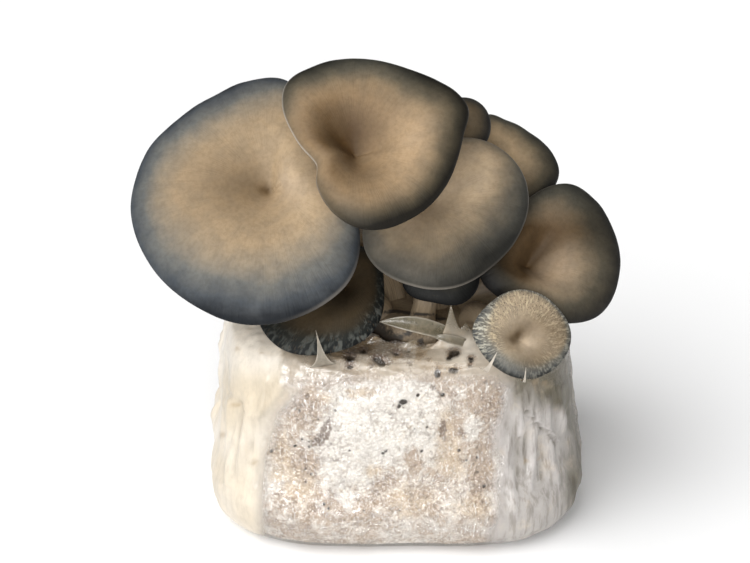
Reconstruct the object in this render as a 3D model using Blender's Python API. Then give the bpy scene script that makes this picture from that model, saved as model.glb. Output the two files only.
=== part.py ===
"""Oyster mushroom grow bag: a clear bag around a white growing block, with a cluster of nine mushrooms.

Metres, +Z up, the bag's front faces -Y. The origin is the middle of the bag's flat bottom.
"""
from collections import namedtuple
from math import cos, exp, pi, radians, sin, tau

import bmesh
import bpy
from mathutils import Vector

MM = 0.001
GAP = 0.3 * MM

# Bag: a soft upright sack on a rounded rectangle
BAG_WIDTH = 150 * MM
BAG_DEPTH = 120 * MM
BAG_HEIGHT = 86 * MM
CORNER_POWER = 3.4
FILM_THICKNESS = 0.6 * MM
FILM_CLEARANCE = 0.4 * MM
BAG_COLUMNS = 36
# The bag's side from its flat bottom to its top: how far in from the widest line, and how high
BAG_PROFILE = ((12, 0), (4.5, 3), (1, 10), (0, 20), (3.3, 30), (5, 40), (6, 60), (8.6, 76), (10.6, 82.5),
               (13.6, 85.3), (18, 86))
# Soft bulges of the side: height, and how many go around
BULGE = 1.1 * MM
BULGE_COUNTS = (3, 5)
BULGE_SECOND = 0.6
BULGE_TURN = 1.1
# How fast the second bulges turn with height, in radians per metre
BULGE_TWIST = 60

# Torn opening at the top of the bag, around the cluster's base
OPENING_CENTRE = Vector((8, -11.5, 0)) * MM
OPENING_HALF = (41 * MM, 27.5 * MM)
# Torn flaps that stand up from the opening's edge: direction in degrees, height, and lean outward
FLAPS = ((220, 8, 3), (250, 4, 2), (270, 3, 1), (290, 17, -1), (300, 8, 3), (340, 11, 4), (30, 9, 4),
         (120, 10, 4), (170, 7, 3))
# The torn edge between the flaps: how high it stands, and how far in from the opening
TORN_RISE = 0.8 * MM
TORN_INWARD = 1.2 * MM

# Fused foot of the cluster
BASE_CENTRE = Vector((14, -11, 0)) * MM
BASE_HALF = (30 * MM, 23.5 * MM)
BASE_BOTTOM = BAG_HEIGHT - 7 * MM
BASE_TOP = BAG_HEIGHT + 2.5 * MM
BASE_CLEARANCE = 0.8 * MM
BASE_SEGMENTS = 28
# The mound's rings from its bottom to its top: share of its half widths, and height
BASE_RINGS = ((0.96, BASE_BOTTOM), (0.97, BAG_HEIGHT), (0.94, BASE_TOP))
BASE_LUMP = 0.03
BASE_LUMP_COUNT = 5
BASE_LUMP_TURN = 0.7

# The cluster is laid out as it is seen from the front and above. A place "seen" is measured across and up
# from LOOK_AT, on a plane square to the line of sight; "toward" is how far it stands out toward the eye.
LOOK_AT = Vector((-8 * MM, -20 * MM, BAG_HEIGHT + 16.5 * MM))
LOOK_DOWN = radians(30)
EYE_DISTANCE = 850 * MM
SIGHT = Vector((0, cos(LOOK_DOWN), -sin(LOOK_DOWN)))
ACROSS = Vector((1, 0, 0))
UP_SEEN = Vector((0, sin(LOOK_DOWN), cos(LOOK_DOWN)))
EYE = LOOK_AT - SIGHT * EYE_DISTANCE

# One mushroom, in millimetres and degrees.
# seen, toward: the cap's middle; facing: its turn to the right and its lift above level
# rim: (direction, reach) seen from the middle; hollow: the dimple over the stem, seen from the middle
# dome: rise over the rim; dip, dip_width: the dimple's depth and its share of the cap
# wave: height, count and turn of the rim's waves; stem: radius at the cap and at the foot
# neck: how far the cap reaches down its stem; foot: where the stem stands on the base
Mushroom = namedtuple(
    "Mushroom", "seen toward facing rim hollow dome dip dip_width wave stem neck foot segments")

MUSHROOMS = {
    "large_left": Mushroom(
        seen=(-48.6, 30.6), toward=16, facing=(-10, 49),
        rim=((0, 40), (25, 33.5), (48, 38.5), (71, 48), (92, 45), (105, 42.2), (117, 41), (131, 40.6),
             (150, 42.2), (167, 43.1), (187, 44.4), (213, 44.2), (243, 44.6), (270, 47), (299, 48.5),
             (325, 49)),
        hollow=(8.7, 4.2), dome=9, dip=9, dip_width=0.28,
        wave=(1.2, 3, 40), stem=(8, 8), neck=9, foot=(-5, -2), segments=40),
    "top_centre": Mushroom(
        seen=(0.8, 52.6), toward=47, facing=(4, 50),
        rim=((177, 31), (158, 39), (146, 41.2), (130, 37.9), (103, 32.9), (80, 30.7), (63, 30.9), (46, 33),
             (32, 36), (20, 37), (5, 33), (342, 31), (297, 31.5), (263, 33.4), (243, 32), (215, 28),
             (198, 24.5)),
        hollow=(-8, -2), dome=7, dip=11.5, dip_width=0.42,
        wave=(1.5, 2, 10), stem=(7, 7.5), neck=9, foot=(9, 5), segments=40),
    "middle_right": Mushroom(
        seen=(27.4, 26.4), toward=25, facing=(12, 48),
        rim=((80, 28.5), (38, 32), (10, 31.5), (339, 28.5), (310, 27), (274, 29), (245, 31), (210, 34.5),
             (188, 32), (165, 25), (145, 21), (115, 22)),
        hollow=(-6.5, 4), dome=7, dip=6, dip_width=0.34,
        wave=(1, 3, 0), stem=(6.5, 7), neck=8, foot=(15, -9), segments=40),
    "small_back": Mushroom(
        seen=(33.4, 58.7), toward=6, facing=(20, 58),
        rim=((0, 10.6), (46, 11.1), (95, 11.3), (180, 11), (270, 11)),
        hollow=(0, 0), dome=3.5, dip=2, dip_width=0.3,
        wave=(0.3, 3, 0), stem=(3, 4), neck=5, foot=(23, 1), segments=24),
    "upper_right": Mushroom(
        seen=(49.4, 44.3), toward=-10, facing=(25, 54),
        rim=((348, 20.8), (12, 18.7), (30, 16.8), (52, 15.6), (70, 16), (90, 17.1), (108, 20.2), (125, 20.8),
             (180, 13), (235, 17), (280, 20.5), (320, 19.8)),
        hollow=(-2, -1), dome=5, dip=5, dip_width=0.34,
        wave=(0.8, 3, 60), stem=(5, 6), neck=7, foot=(34, 4), segments=32),
    "lower_right": Mushroom(
        seen=(66.9, 10.8), toward=4, facing=(26, 46),
        rim=((76, 27), (50, 26.2), (22, 25.3), (348, 26.8), (310, 29.9), (285, 27.8), (255, 24), (222, 26),
             (195, 28.5), (160, 23.5), (120, 22)),
        hollow=(-7.6, -3.4), dome=7, dip=9.5, dip_width=0.36,
        wave=(1, 3, 20), stem=(6, 6.5), neck=8, foot=(31, -13), segments=32),
    "small_front": Mushroom(
        seen=(55.5, -20.3), toward=28, facing=(14, 38),
        rim=((90, 17.3), (40, 17.3), (0, 19), (320, 18.2), (279, 17), (235, 15.6), (198, 16.8), (175, 18.5),
             (136, 17)),
        hollow=(-0.8, -2), dome=4.5, dip=4.2, dip_width=0.3,
        wave=(0.5, 3, 0), stem=(4.5, 4.5), neck=5.5, foot=(29, -25), segments=28),
    "lower_left": Mushroom(
        seen=(-21.7, -2.5), toward=6, facing=(-6, 60),
        rim=((233, 27), (280, 25), (328, 26.7), (0, 25.2), (35, 25.3), (60, 17), (90, 10), (120, 9),
             (150, 13), (185, 23)),
        hollow=(10, 1), dome=5, dip=5, dip_width=0.3,
        wave=(0.7, 3, 0), stem=(4.5, 5), neck=6, foot=(-7, -17), segments=28),
    "low_centre": Mushroom(
        seen=(24.7, 5.9), toward=14, facing=(4, 40),
        rim=((209, 16), (261, 14.2), (304, 16.7), (340, 16), (45, 9), (120, 7.5)),
        hollow=(-1, 1.5), dome=4, dip=2, dip_width=0.3,
        wave=(0.4, 3, 0), stem=(3.5, 4.5), neck=5.5, foot=(10, -26), segments=24),
}

# How a cap is built, from its dimple (0) to its rim (1)
TOP_RINGS = (0.16, 0.4, 0.68, 0.9, 1.0)
UNDER_RINGS = (0.95, 0.74, 0.5)
# Powers that make the top flat in the middle and steep at the rim
DOME_FLATNESS = 3
DOME_EDGE = 0.6
RIM_THICKNESS = 2.4 * MM
FLESH_THICKNESS = 6.5 * MM
FLESH_TAPER = 0.8
# Reach of a cap that has the full thickness, in millimetres; smaller caps are thinner
FULL_REACH = 30
GILL_RIDGE = 0.7 * MM
STEM_SIDES = 10
STEM_RINGS = 6
# How straight a stem leaves its foot and its cap, as a share of its length
STEM_PULL = 0.4

COLOURS = {
    "film": ((0.82, 0.80, 0.76), 0.25),
    "block": ((0.86, 0.80, 0.70), 0.8),
    "cap": ((0.36, 0.28, 0.20), 0.6),
    "stem": ((0.55, 0.45, 0.36), 0.7),
}


def material(kind):
    """The Principled material of one kind of piece."""
    found = bpy.data.materials.get(kind)
    if found:
        return found
    made = bpy.data.materials.new(kind)
    made.use_nodes = True
    shader = made.node_tree.nodes["Principled BSDF"]
    colour, roughness = COLOURS[kind]
    shader.inputs["Base Color"].default_value = (*colour, 1)
    shader.inputs["Roughness"].default_value = roughness
    return made


def closed_curve(knots, angle):
    """Value at an angle of a smooth closed curve through (angle, value) knots, in degrees."""
    knots = sorted(knots)
    count = len(knots)

    def knot(index):
        turns, place = divmod(index, count)
        return knots[place][0] + 360 * turns, knots[place][1]

    angle %= 360
    last = sum(1 for at, _ in knots if at <= angle) - 1
    (a0, v0), (a1, v1), (a2, v2), (a3, v3) = (knot(last + step) for step in (-1, 0, 1, 2))
    span = a2 - a1
    t = (angle - a1) / span
    slope1 = (v2 - v0) / (a2 - a0) * span
    slope2 = (v3 - v1) / (a3 - a1) * span
    return ((2 * t**3 - 3 * t**2 + 1) * v1 + (t**3 - 2 * t**2 + t) * slope1
            + (3 * t**2 - 2 * t**3) * v2 + (t**3 - t**2) * slope2)


def finish(name, bm, kind):
    """Turn a bmesh into the named object."""
    bmesh.ops.recalc_face_normals(bm, faces=bm.faces)
    mesh = bpy.data.meshes.new(name)
    bm.to_mesh(mesh)
    bm.free()
    mesh.shade_smooth()
    made = bpy.data.objects.new(name, mesh)
    mesh.materials.append(material(kind))
    bpy.context.scene.collection.objects.link(made)
    return made


def skin(bm, rings):
    """Join neighbouring rings of points with faces, and give back the rings' vertices."""
    loops = [[bm.verts.new(point) for point in ring] for ring in rings]
    count = len(loops[0])
    for lower, upper in zip(loops, loops[1:]):
        for i in range(count):
            j = (i + 1) % count
            bm.faces.new((lower[i], lower[j], upper[j], upper[i]))
    return loops


def close_with_point(bm, loop, point):
    """Close a ring with a fan to one point."""
    tip = bm.verts.new(point)
    for i, vert in enumerate(loop):
        bm.faces.new((vert, loop[(i + 1) % len(loop)], tip))


def rounded_rectangle(half_x, half_y, angle):
    """Point of a rounded rectangle about the origin, in the direction of an angle in radians."""
    c, s = cos(angle), sin(angle)
    reach = (abs(c / half_x) ** CORNER_POWER + abs(s / half_y) ** CORNER_POWER) ** (-1 / CORNER_POWER)
    return Vector((reach * c, reach * s, 0))


def ellipse(centre, half, angle, z):
    """Point of an upright-axis ellipse at a height."""
    return Vector((centre.x + half[0] * cos(angle), centre.y + half[1] * sin(angle), z))


def circle(centre, axis, radius, count):
    """Ring of points about an axis."""
    across = (ACROSS - axis * ACROSS.dot(axis)).normalized()
    other = axis.cross(across)
    angles = [tau * i / count for i in range(count)]
    return [centre + (across * cos(angle) + other * sin(angle)) * radius for angle in angles]


def bag_profile(inset):
    """The bag's side as (inward, height) in metres, set in by a distance square to the side."""
    points = [(inward * MM, height * MM) for inward, height in BAG_PROFILE]
    moved = []
    for i, (inward, height) in enumerate(points):
        before = points[max(i - 1, 0)]
        after = points[min(i + 1, len(points) - 1)]
        along = Vector((after[0] - before[0], after[1] - before[1]))
        if i == 0:
            normal = Vector((1, 1)).normalized() * 2 ** 0.5
        elif i == len(points) - 1:
            normal = Vector((0, -1))
        else:
            normal = Vector((along.y, -along.x)).normalized()
        moved.append((inward + normal.x * inset, height + normal.y * inset))
    return moved


def bag_ring(inward, height):
    """One level ring of the bag's side, with its soft bulges."""
    ring = []
    for column in range(BAG_COLUMNS):
        angle = tau * column / BAG_COLUMNS
        share = sin(pi * min(height / BAG_HEIGHT, 1))
        first = sin(BULGE_COUNTS[0] * angle + BULGE_TURN)
        second = BULGE_SECOND * sin(BULGE_COUNTS[1] * angle + height * BULGE_TWIST)
        bulge = BULGE * share * (first + second)
        point = rounded_rectangle(BAG_WIDTH / 2 - inward + bulge, BAG_DEPTH / 2 - inward + bulge, angle)
        point.z = height
        ring.append(point)
    return ring


def halfway(ring, other):
    """Ring halfway between two rings."""
    return [a.lerp(b, 0.5) for a, b in zip(ring, other)]


def opening_edge(z):
    """The torn opening's edge as a level ring that faces the bag's columns."""
    return [ellipse(OPENING_CENTRE, OPENING_HALF, tau * c / BAG_COLUMNS, z) for c in range(BAG_COLUMNS)]


def build_block():
    """The white growing block: the bag's shape, set in, with a shallow seat for the cluster in its top."""
    inset = FILM_THICKNESS + FILM_CLEARANCE
    rings = [bag_ring(inward, height) for inward, height in bag_profile(inset)]
    top = rings[-1][0].z
    edge = opening_edge(top)
    bottom = rings[0][0].z
    bm = bmesh.new()
    seat = [[ellipse(BASE_CENTRE, [half + BASE_CLEARANCE for half in BASE_HALF], tau * c / BAG_COLUMNS, z)
             for c in range(BAG_COLUMNS)] for z in (top, BASE_BOTTOM - GAP)]
    loops = skin(bm, rings + [edge] + seat)
    close_with_point(bm, loops[0], (0, 0, bottom))
    close_with_point(bm, loops[-1], BASE_CENTRE + Vector((0, 0, BASE_BOTTOM - GAP)))
    return finish("substrate_block", bm, "block")


def flap_rise(column):
    """How high and how far outward the torn edge stands at one column."""
    angle = 360 * column / BAG_COLUMNS
    for at, height, lean in FLAPS:
        if abs(at - angle) < 180 / BAG_COLUMNS:
            return height * MM, lean * MM
    return TORN_RISE, 0


def build_film():
    """The clear bag: one thin skin over the block, open at the top, with torn flaps around the opening."""
    rings = [bag_ring(inward, height) for inward, height in bag_profile(0)]
    top = rings[-1][0].z
    edge = opening_edge(top)
    torn = []
    for column, point in enumerate(edge):
        rise, lean = flap_rise(column)
        out = (point - OPENING_CENTRE).normalized()
        out.z = 0
        torn.append(point + out * (lean - TORN_INWARD) + Vector((0, 0, rise)))
    bm = bmesh.new()
    loops = skin(bm, rings + [halfway(rings[-1], edge), edge, torn])
    close_with_point(bm, loops[0], (0, 0, 0))
    film = finish("bag_film", bm, "film")
    thick = film.modifiers.new("Thickness", "SOLIDIFY")
    thick.thickness = FILM_THICKNESS
    thick.offset = -1
    return film


def build_base():
    """The fused foot of the cluster: a low mound set in the block's top, flat where the stems stand."""
    rings = []
    for share, height in BASE_RINGS:
        ring = []
        for i in range(BASE_SEGMENTS):
            angle = tau * i / BASE_SEGMENTS
            lump = 1 + BASE_LUMP * sin(BASE_LUMP_COUNT * angle + BASE_LUMP_TURN)
            half = [reach * share * lump for reach in BASE_HALF]
            ring.append(ellipse(BASE_CENTRE, half, angle, height))
        rings.append(ring)
    bm = bmesh.new()
    loops = skin(bm, rings)
    bm.faces.new(reversed(loops[0]))
    bm.faces.new(loops[-1])
    return finish("cluster_base", bm, "stem")


class Cap:
    """The surfaces of one cap, worked out from its mushroom's measurements."""

    def __init__(self, spec):
        self.spec = spec
        self.size = min(spec.rim[0][1] / FULL_REACH, 1) ** 0.5
        turn, lift = (radians(value) for value in spec.facing)
        self.normal = Vector((cos(lift) * sin(turn), -cos(lift) * cos(turn), sin(lift)))
        closer = (EYE_DISTANCE - spec.toward * MM) / EYE_DISTANCE
        x, y = (value * MM * closer for value in spec.seen)
        self.middle = LOOK_AT + ACROSS * x + UP_SEEN * y - SIGHT * spec.toward * MM
        self.hollow = self.on_plane(*spec.hollow)
        foot = Vector((spec.foot[0] * MM, spec.foot[1] * MM, BASE_TOP))
        self.axis = (self.normal + (self.hollow - foot).normalized()).normalized()
        self.neck = self.hollow - self.normal * (spec.dip - spec.dome) * MM - self.axis * spec.neck * MM

    def on_plane(self, across, up):
        """Point of the cap's plane that is seen this far, in millimetres, from the cap's middle."""
        x, y = (seen + step for seen, step in zip(self.spec.seen, (across, up)))
        ray = LOOK_AT + (ACROSS * x + UP_SEEN * y) * MM - EYE
        return EYE + ray * ((self.middle - EYE).dot(self.normal) / ray.dot(self.normal))

    def rim(self, angle):
        """Point of the rim in a seen direction, with the rim's waves along the line of sight."""
        reach = closed_curve(self.spec.rim, angle)
        point = self.on_plane(reach * cos(radians(angle)), reach * sin(radians(angle)))
        height, count, turn = self.spec.wave
        return point + (EYE - point).normalized() * height * MM * sin(radians(count * angle + turn))

    def rise(self, share):
        """Height of the top over the cap's plane, from the dimple (0) to the rim (1)."""
        spec = self.spec
        dome = (1 - share ** DOME_FLATNESS) ** DOME_EDGE
        return (spec.dome * dome - spec.dip * exp(-(share / spec.dip_width) ** 2)) * MM

    def top(self, share, angle):
        """Point of the cap's top."""
        return self.hollow.lerp(self.rim(angle), share) + self.normal * self.rise(share)

    def under(self, share, angle, ridge):
        """Point of the gills, below the top by the flesh, with a ridge's height added."""
        flesh = RIM_THICKNESS + (FLESH_THICKNESS - RIM_THICKNESS) * (1 - share) ** FLESH_TAPER
        return self.top(share, angle) - self.normal * (flesh * self.size + ridge)

    def neck_ring(self, count):
        """Ring of the neck, where the cap ends and its stem begins."""
        return circle(self.neck, self.axis, self.spec.stem[0] * MM, count)


def build_cap(name, cap):
    """One cap: a domed, dimpled top, a rounded rim, ridged gills and a flat neck for the stem."""
    count = cap.spec.segments
    angles = [360 * i / count for i in range(count)]
    rings = [[cap.top(share, angle) for angle in angles] for share in TOP_RINGS]
    for share in UNDER_RINGS:
        rings.append([cap.under(share, angle, GILL_RIDGE * (i % 2)) for i, angle in enumerate(angles)])
    neck = cap.neck_ring(count)
    bm = bmesh.new()
    loops = skin(bm, rings + [neck])
    close_with_point(bm, loops[0], cap.top(0, 0))
    bm.faces.new(loops[-1])
    return finish("cap_" + name, bm, "cap")


def build_stem(name, cap):
    """One stem: a tapering bent tube, level at its foot and square to the neck at its top."""
    spec = cap.spec
    foot = Vector((spec.foot[0] * MM, spec.foot[1] * MM, BASE_TOP + GAP))
    head = cap.neck - cap.axis * GAP
    pull = (head - foot).length * STEM_PULL
    handles = (foot, foot + Vector((0, 0, pull)), head - cap.axis * pull, head)
    rings = []
    for step in range(STEM_RINGS + 1):
        t = step / STEM_RINGS
        weights = ((1 - t) ** 3, 3 * (1 - t) ** 2 * t, 3 * (1 - t) * t * t, t ** 3)
        centre = sum((handle * weight for handle, weight in zip(handles, weights)), Vector())
        slope = (handles[1] - handles[0]) * (1 - t) ** 2 + (handles[2] - handles[1]) * 2 * t * (1 - t)
        slope = (slope + (handles[3] - handles[2]) * t * t).normalized()
        radius = (spec.stem[1] + (spec.stem[0] - spec.stem[1]) * t) * MM
        rings.append(circle(centre, slope, radius, STEM_SIDES))
    bm = bmesh.new()
    loops = skin(bm, rings)
    bm.faces.new(reversed(loops[0]))
    bm.faces.new(loops[-1])
    return finish("stem_" + name, bm, "stem")


def main():
    for old in list(bpy.data.objects):
        bpy.data.objects.remove(old)
    build_block()
    build_film()
    build_base()
    for name, spec in MUSHROOMS.items():
        cap = Cap(spec)
        build_cap(name, cap)
        build_stem(name, cap)


main()
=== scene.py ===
"""Looks of the oyster mushroom grow bag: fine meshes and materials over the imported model, on a pale floor."""
from collections import namedtuple
from math import cos, pi, radians, sin, tau

import bpy
import numpy as np
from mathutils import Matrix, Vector


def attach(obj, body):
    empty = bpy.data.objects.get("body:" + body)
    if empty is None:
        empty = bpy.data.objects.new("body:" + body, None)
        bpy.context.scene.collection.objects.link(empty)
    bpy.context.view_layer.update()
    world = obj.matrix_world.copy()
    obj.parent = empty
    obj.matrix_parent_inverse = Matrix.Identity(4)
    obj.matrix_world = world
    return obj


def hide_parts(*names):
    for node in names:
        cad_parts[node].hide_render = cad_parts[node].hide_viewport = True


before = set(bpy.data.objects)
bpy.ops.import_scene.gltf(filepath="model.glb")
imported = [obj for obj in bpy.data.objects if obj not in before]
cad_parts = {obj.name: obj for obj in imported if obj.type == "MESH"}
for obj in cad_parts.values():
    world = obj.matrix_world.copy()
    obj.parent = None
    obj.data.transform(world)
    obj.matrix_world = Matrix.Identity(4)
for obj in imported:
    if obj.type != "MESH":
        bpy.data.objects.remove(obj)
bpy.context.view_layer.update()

MM = 0.001

# The bag, the opening and the cluster's base have the same measures as the model
BAG_WIDTH = 150 * MM
BAG_DEPTH = 120 * MM
BAG_HEIGHT = 86 * MM
CORNER_POWER = 3.4
FILM_THICKNESS = 0.6 * MM
FILM_CLEARANCE = 0.4 * MM
BAG_PROFILE = (
    (12, 0), (4.5, 3), (1, 10), (0, 20), (3.3, 30), (5, 40), (6, 60), (8.6, 76), (10.6, 82.5), (13.6, 85.3),
    (18, 86)
)
BULGE = 1.1 * MM
OPENING_CENTRE = np.array((8, -11.5, 0)) * MM
OPENING_HALF = np.array((41, 27.5)) * MM
BASE_CENTRE = np.array((14, -11, 0)) * MM
BASE_HALF = np.array((30, 23.5)) * MM
BASE_BOTTOM = BAG_HEIGHT - 7 * MM
BASE_TOP = BAG_HEIGHT + 2.5 * MM
# The room round the base in its seat, and under it
SEAT_PLAY = 0.8 * MM
BASE_GAP = 0.3 * MM
# The film that is seen is thinner than the model's
FINE_FILM_THICKNESS = 0.15 * MM
# How far along a stem its fibres stay alike
FIBRE_LENGTH = 28 * MM

# The line of sight that the cluster is laid out along, which the camera shares
LOOK_AT = np.array((-8 * MM, -20 * MM, BAG_HEIGHT + 16.5 * MM))
LOOK_DOWN = radians(30)
EYE_DISTANCE = 850 * MM
SIGHT = np.array((0, cos(LOOK_DOWN), -sin(LOOK_DOWN)))
ACROSS = np.array((1.0, 0, 0))
UP_SEEN = np.array((0, sin(LOOK_DOWN), cos(LOOK_DOWN)))
EYE = LOOK_AT - SIGHT * EYE_DISTANCE
SENSOR_WIDTH = 36
VIEW_WIDTH = 285 * MM
# Half the floor's side, in metres
FLOOR_SIDE = 12

# One mushroom, in millimetres and degrees.
# seen, toward: the cap's middle, and how far it stands out toward the eye; facing: its turn and its lift
# rim: (direction, reach) seen from the middle; hollow: the dimple over the stem, seen from the middle
# dome: rise over the rim; dip, dip_width: the dimple's depth and its share of the cap
# wave: height, count and turn of the rim's waves; stem: radius at the cap and at the foot
# neck: how far the cap reaches down its stem; foot: where the stem stands on the base
# fine: how many spokes and rings the cap's top has, then rings of its gills, and long gills
Mushroom = namedtuple("Mushroom", "seen toward facing rim hollow dome dip dip_width wave stem neck foot fine")
MUSHROOMS = {
    "large_left": Mushroom(
        seen=(-48.6, 30.6), toward=16, facing=(-10, 49),
        rim=((0, 40), (25, 33.5), (48, 38.5), (71, 48), (92, 45), (105, 42.2), (117, 41), (131, 40.6),
            (150, 42.2), (167, 43.1), (187, 44.4), (213, 44.2), (243, 44.6), (270, 47), (299, 48.5),
            (325, 49)), hollow=(8.7, 4.2), dome=9, dip=9, dip_width=0.28, wave=(1.2, 3, 40), stem=(8, 8),
        neck=9, foot=(-5, -2), fine=(440, 50, 26, 110)),
    "top_centre": Mushroom(
        seen=(0.8, 52.6), toward=47, facing=(4, 50),
        rim=((177, 31), (158, 39), (146, 41.2), (130, 37.9), (103, 32.9), (80, 30.7), (63, 30.9), (46, 33),
            (32, 36), (20, 37), (5, 33), (342, 31), (297, 31.5), (263, 33.4), (243, 32), (215, 28),
            (198, 24.5)), hollow=(-8, -2), dome=7, dip=11.5, dip_width=0.42, wave=(1.5, 2, 10),
        stem=(7, 7.5), neck=9, foot=(9, 5), fine=(400, 48, 26, 100)),
    "middle_right": Mushroom(
        seen=(27.4, 26.4), toward=25, facing=(12, 48),
        rim=((80, 28.5), (38, 32), (10, 31.5), (339, 28.5), (310, 27), (274, 29), (245, 31), (210, 34.5),
            (188, 32), (165, 25), (145, 21), (115, 22)), hollow=(-6.5, 4), dome=7, dip=6, dip_width=0.34,
        wave=(1, 3, 0), stem=(6.5, 7), neck=8, foot=(15, -9), fine=(400, 46, 26, 100)),
    "small_back": Mushroom(
        seen=(33.4, 58.7), toward=6, facing=(20, 58),
        rim=((0, 10.6), (46, 11.1), (95, 11.3), (180, 11), (270, 11)), hollow=(0, 0), dome=3.5, dip=2,
        dip_width=0.3, wave=(0.3, 3, 0), stem=(3, 4), neck=5, foot=(23, 1), fine=(200, 28, 16, 40)),
    "upper_right": Mushroom(
        seen=(49.4, 44.3), toward=-10, facing=(25, 54),
        rim=((348, 20.8), (12, 18.7), (30, 16.8), (52, 15.6), (70, 16), (90, 17.1), (108, 20.2),
            (125, 20.8), (180, 13), (235, 17), (280, 20.5), (320, 19.8)), hollow=(-2, -1), dome=5, dip=5,
        dip_width=0.34, wave=(0.8, 3, 60), stem=(5, 6), neck=7, foot=(34, 4), fine=(320, 38, 22, 80)),
    "lower_right": Mushroom(
        seen=(66.9, 10.8), toward=4, facing=(26, 46),
        rim=((76, 27), (50, 26.2), (22, 25.3), (348, 26.8), (310, 29.9), (285, 27.8), (255, 24), (222, 26),
            (195, 28.5), (160, 23.5), (120, 22)), hollow=(-7.6, -3.4), dome=7, dip=9.5, dip_width=0.36,
        wave=(1, 3, 20), stem=(6, 6.5), neck=8, foot=(31, -13), fine=(360, 42, 22, 90)),
    "small_front": Mushroom(
        seen=(55.5, -20.3), toward=28, facing=(14, 38),
        rim=((90, 17.3), (40, 17.3), (0, 19), (320, 18.2), (279, 17), (235, 15.6), (198, 16.8), (175, 18.5),
            (136, 17)), hollow=(-0.8, -2), dome=4.5, dip=4.2, dip_width=0.3, wave=(0.5, 3, 0),
        stem=(4.5, 4.5), neck=5.5, foot=(29, -25), fine=(320, 44, 20, 64)),
    "lower_left": Mushroom(
        seen=(-21.7, -2.5), toward=6, facing=(-6, 60),
        rim=((233, 27), (280, 25), (328, 26.7), (0, 25.2), (35, 25.3), (60, 17), (90, 10), (120, 9),
            (150, 13), (185, 23)), hollow=(10, 1), dome=5, dip=5, dip_width=0.3, wave=(0.7, 3, 0),
        stem=(4.5, 5), neck=6, foot=(-7, -17), fine=(320, 44, 20, 72)),
    "low_centre": Mushroom(
        seen=(24.7, 5.9), toward=14, facing=(4, 40),
        rim=((209, 16), (261, 14.2), (304, 16.7), (340, 16), (45, 9), (120, 7.5)), hollow=(-1, 1.5), dome=4,
        dip=2, dip_width=0.3, wave=(0.4, 3, 0), stem=(3.5, 4.5), neck=5.5, foot=(10, -26),
        fine=(200, 30, 16, 46)),
}
RIM_THICKNESS = 2.4 * MM
FLESH_THICKNESS = 6.5 * MM
RIM_ROLL = 0.95 * MM
GILL_DEPTH = 1.7 * MM
NECK_PLAY = 0.2 * MM
# Where the gills start, and how far in they run, as shares of the way out
GILL_START = 0.955
GILL_REACH = 0.6
# How much deeper a dimple's middle is, as a share of its depth
FUNNEL = 0.3
# How far out a full-sized cap reaches, in millimetres; a smaller cap is thinner
FULL_REACH = 30

# The looks of a cap's skin: five colours from its middle to its edge, then these. Band: where the rim's
# colours start and end, as (direction, start, end) in shares of the way out; it differs by direction partly
# with the rim's own colours and partly as painted light and shade, the rim paler where light falls on it and
# darker where it is shaded. Hollows, the spots of painted shading: painted shade, or painted light below 0,
# as (right, up, radius, strength) in shares, for the shaded and lit walls of the dimple and for shadows that
# other caps cast, with some darker brown round the dimple. Folds: (direction, half width in degrees,
# height in millimetres, start, end). Lips, the pale lips and highlights: where the rim is pale, partly its pale
# margin and partly a painted highlight where light catches it, and cool: where the skin is bluer, both as
# (direction, half width in degrees, strength). Cracks: how cracked it is, as (direction, strength), between
# which shares they begin, how dense they and their pits are round the cap and outward, and their colour
Skin = namedtuple("Skin", "middle outer blue shade edge band hollows folds lips cool cracks crack_zone "
                  "crack_scale pit_scale crack_colour",
                  defaults=((), (0, 60, 0), (), (0, 1), (1, 1, 1), (1, 1, 1), (1, 1, 1)))
SKIN_COLOUR_PLACES = (0, 0.3, 0.57, 0.8, 0.97)
# Painted shade is multiplied in with this brown, and painted light mixed toward the pale colour below it
PAINTED_SHADE_BROWN = (0.23, 0.185, 0.125)
PAINTED_LIGHT_PALE = (0.58, 0.46, 0.34)
COOL_TINT = (0.82, 0.97, 1.16)
CRACK_COOL_TINT = (0.98, 1.15, 1.42)
GAP_BROWN = (0.06, 0.045, 0.03)
# Colour of the pale rim line, partly a painted highlight
PALE_LIP_AND_HIGHLIGHT = (0.47, 0.42, 0.36)
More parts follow.
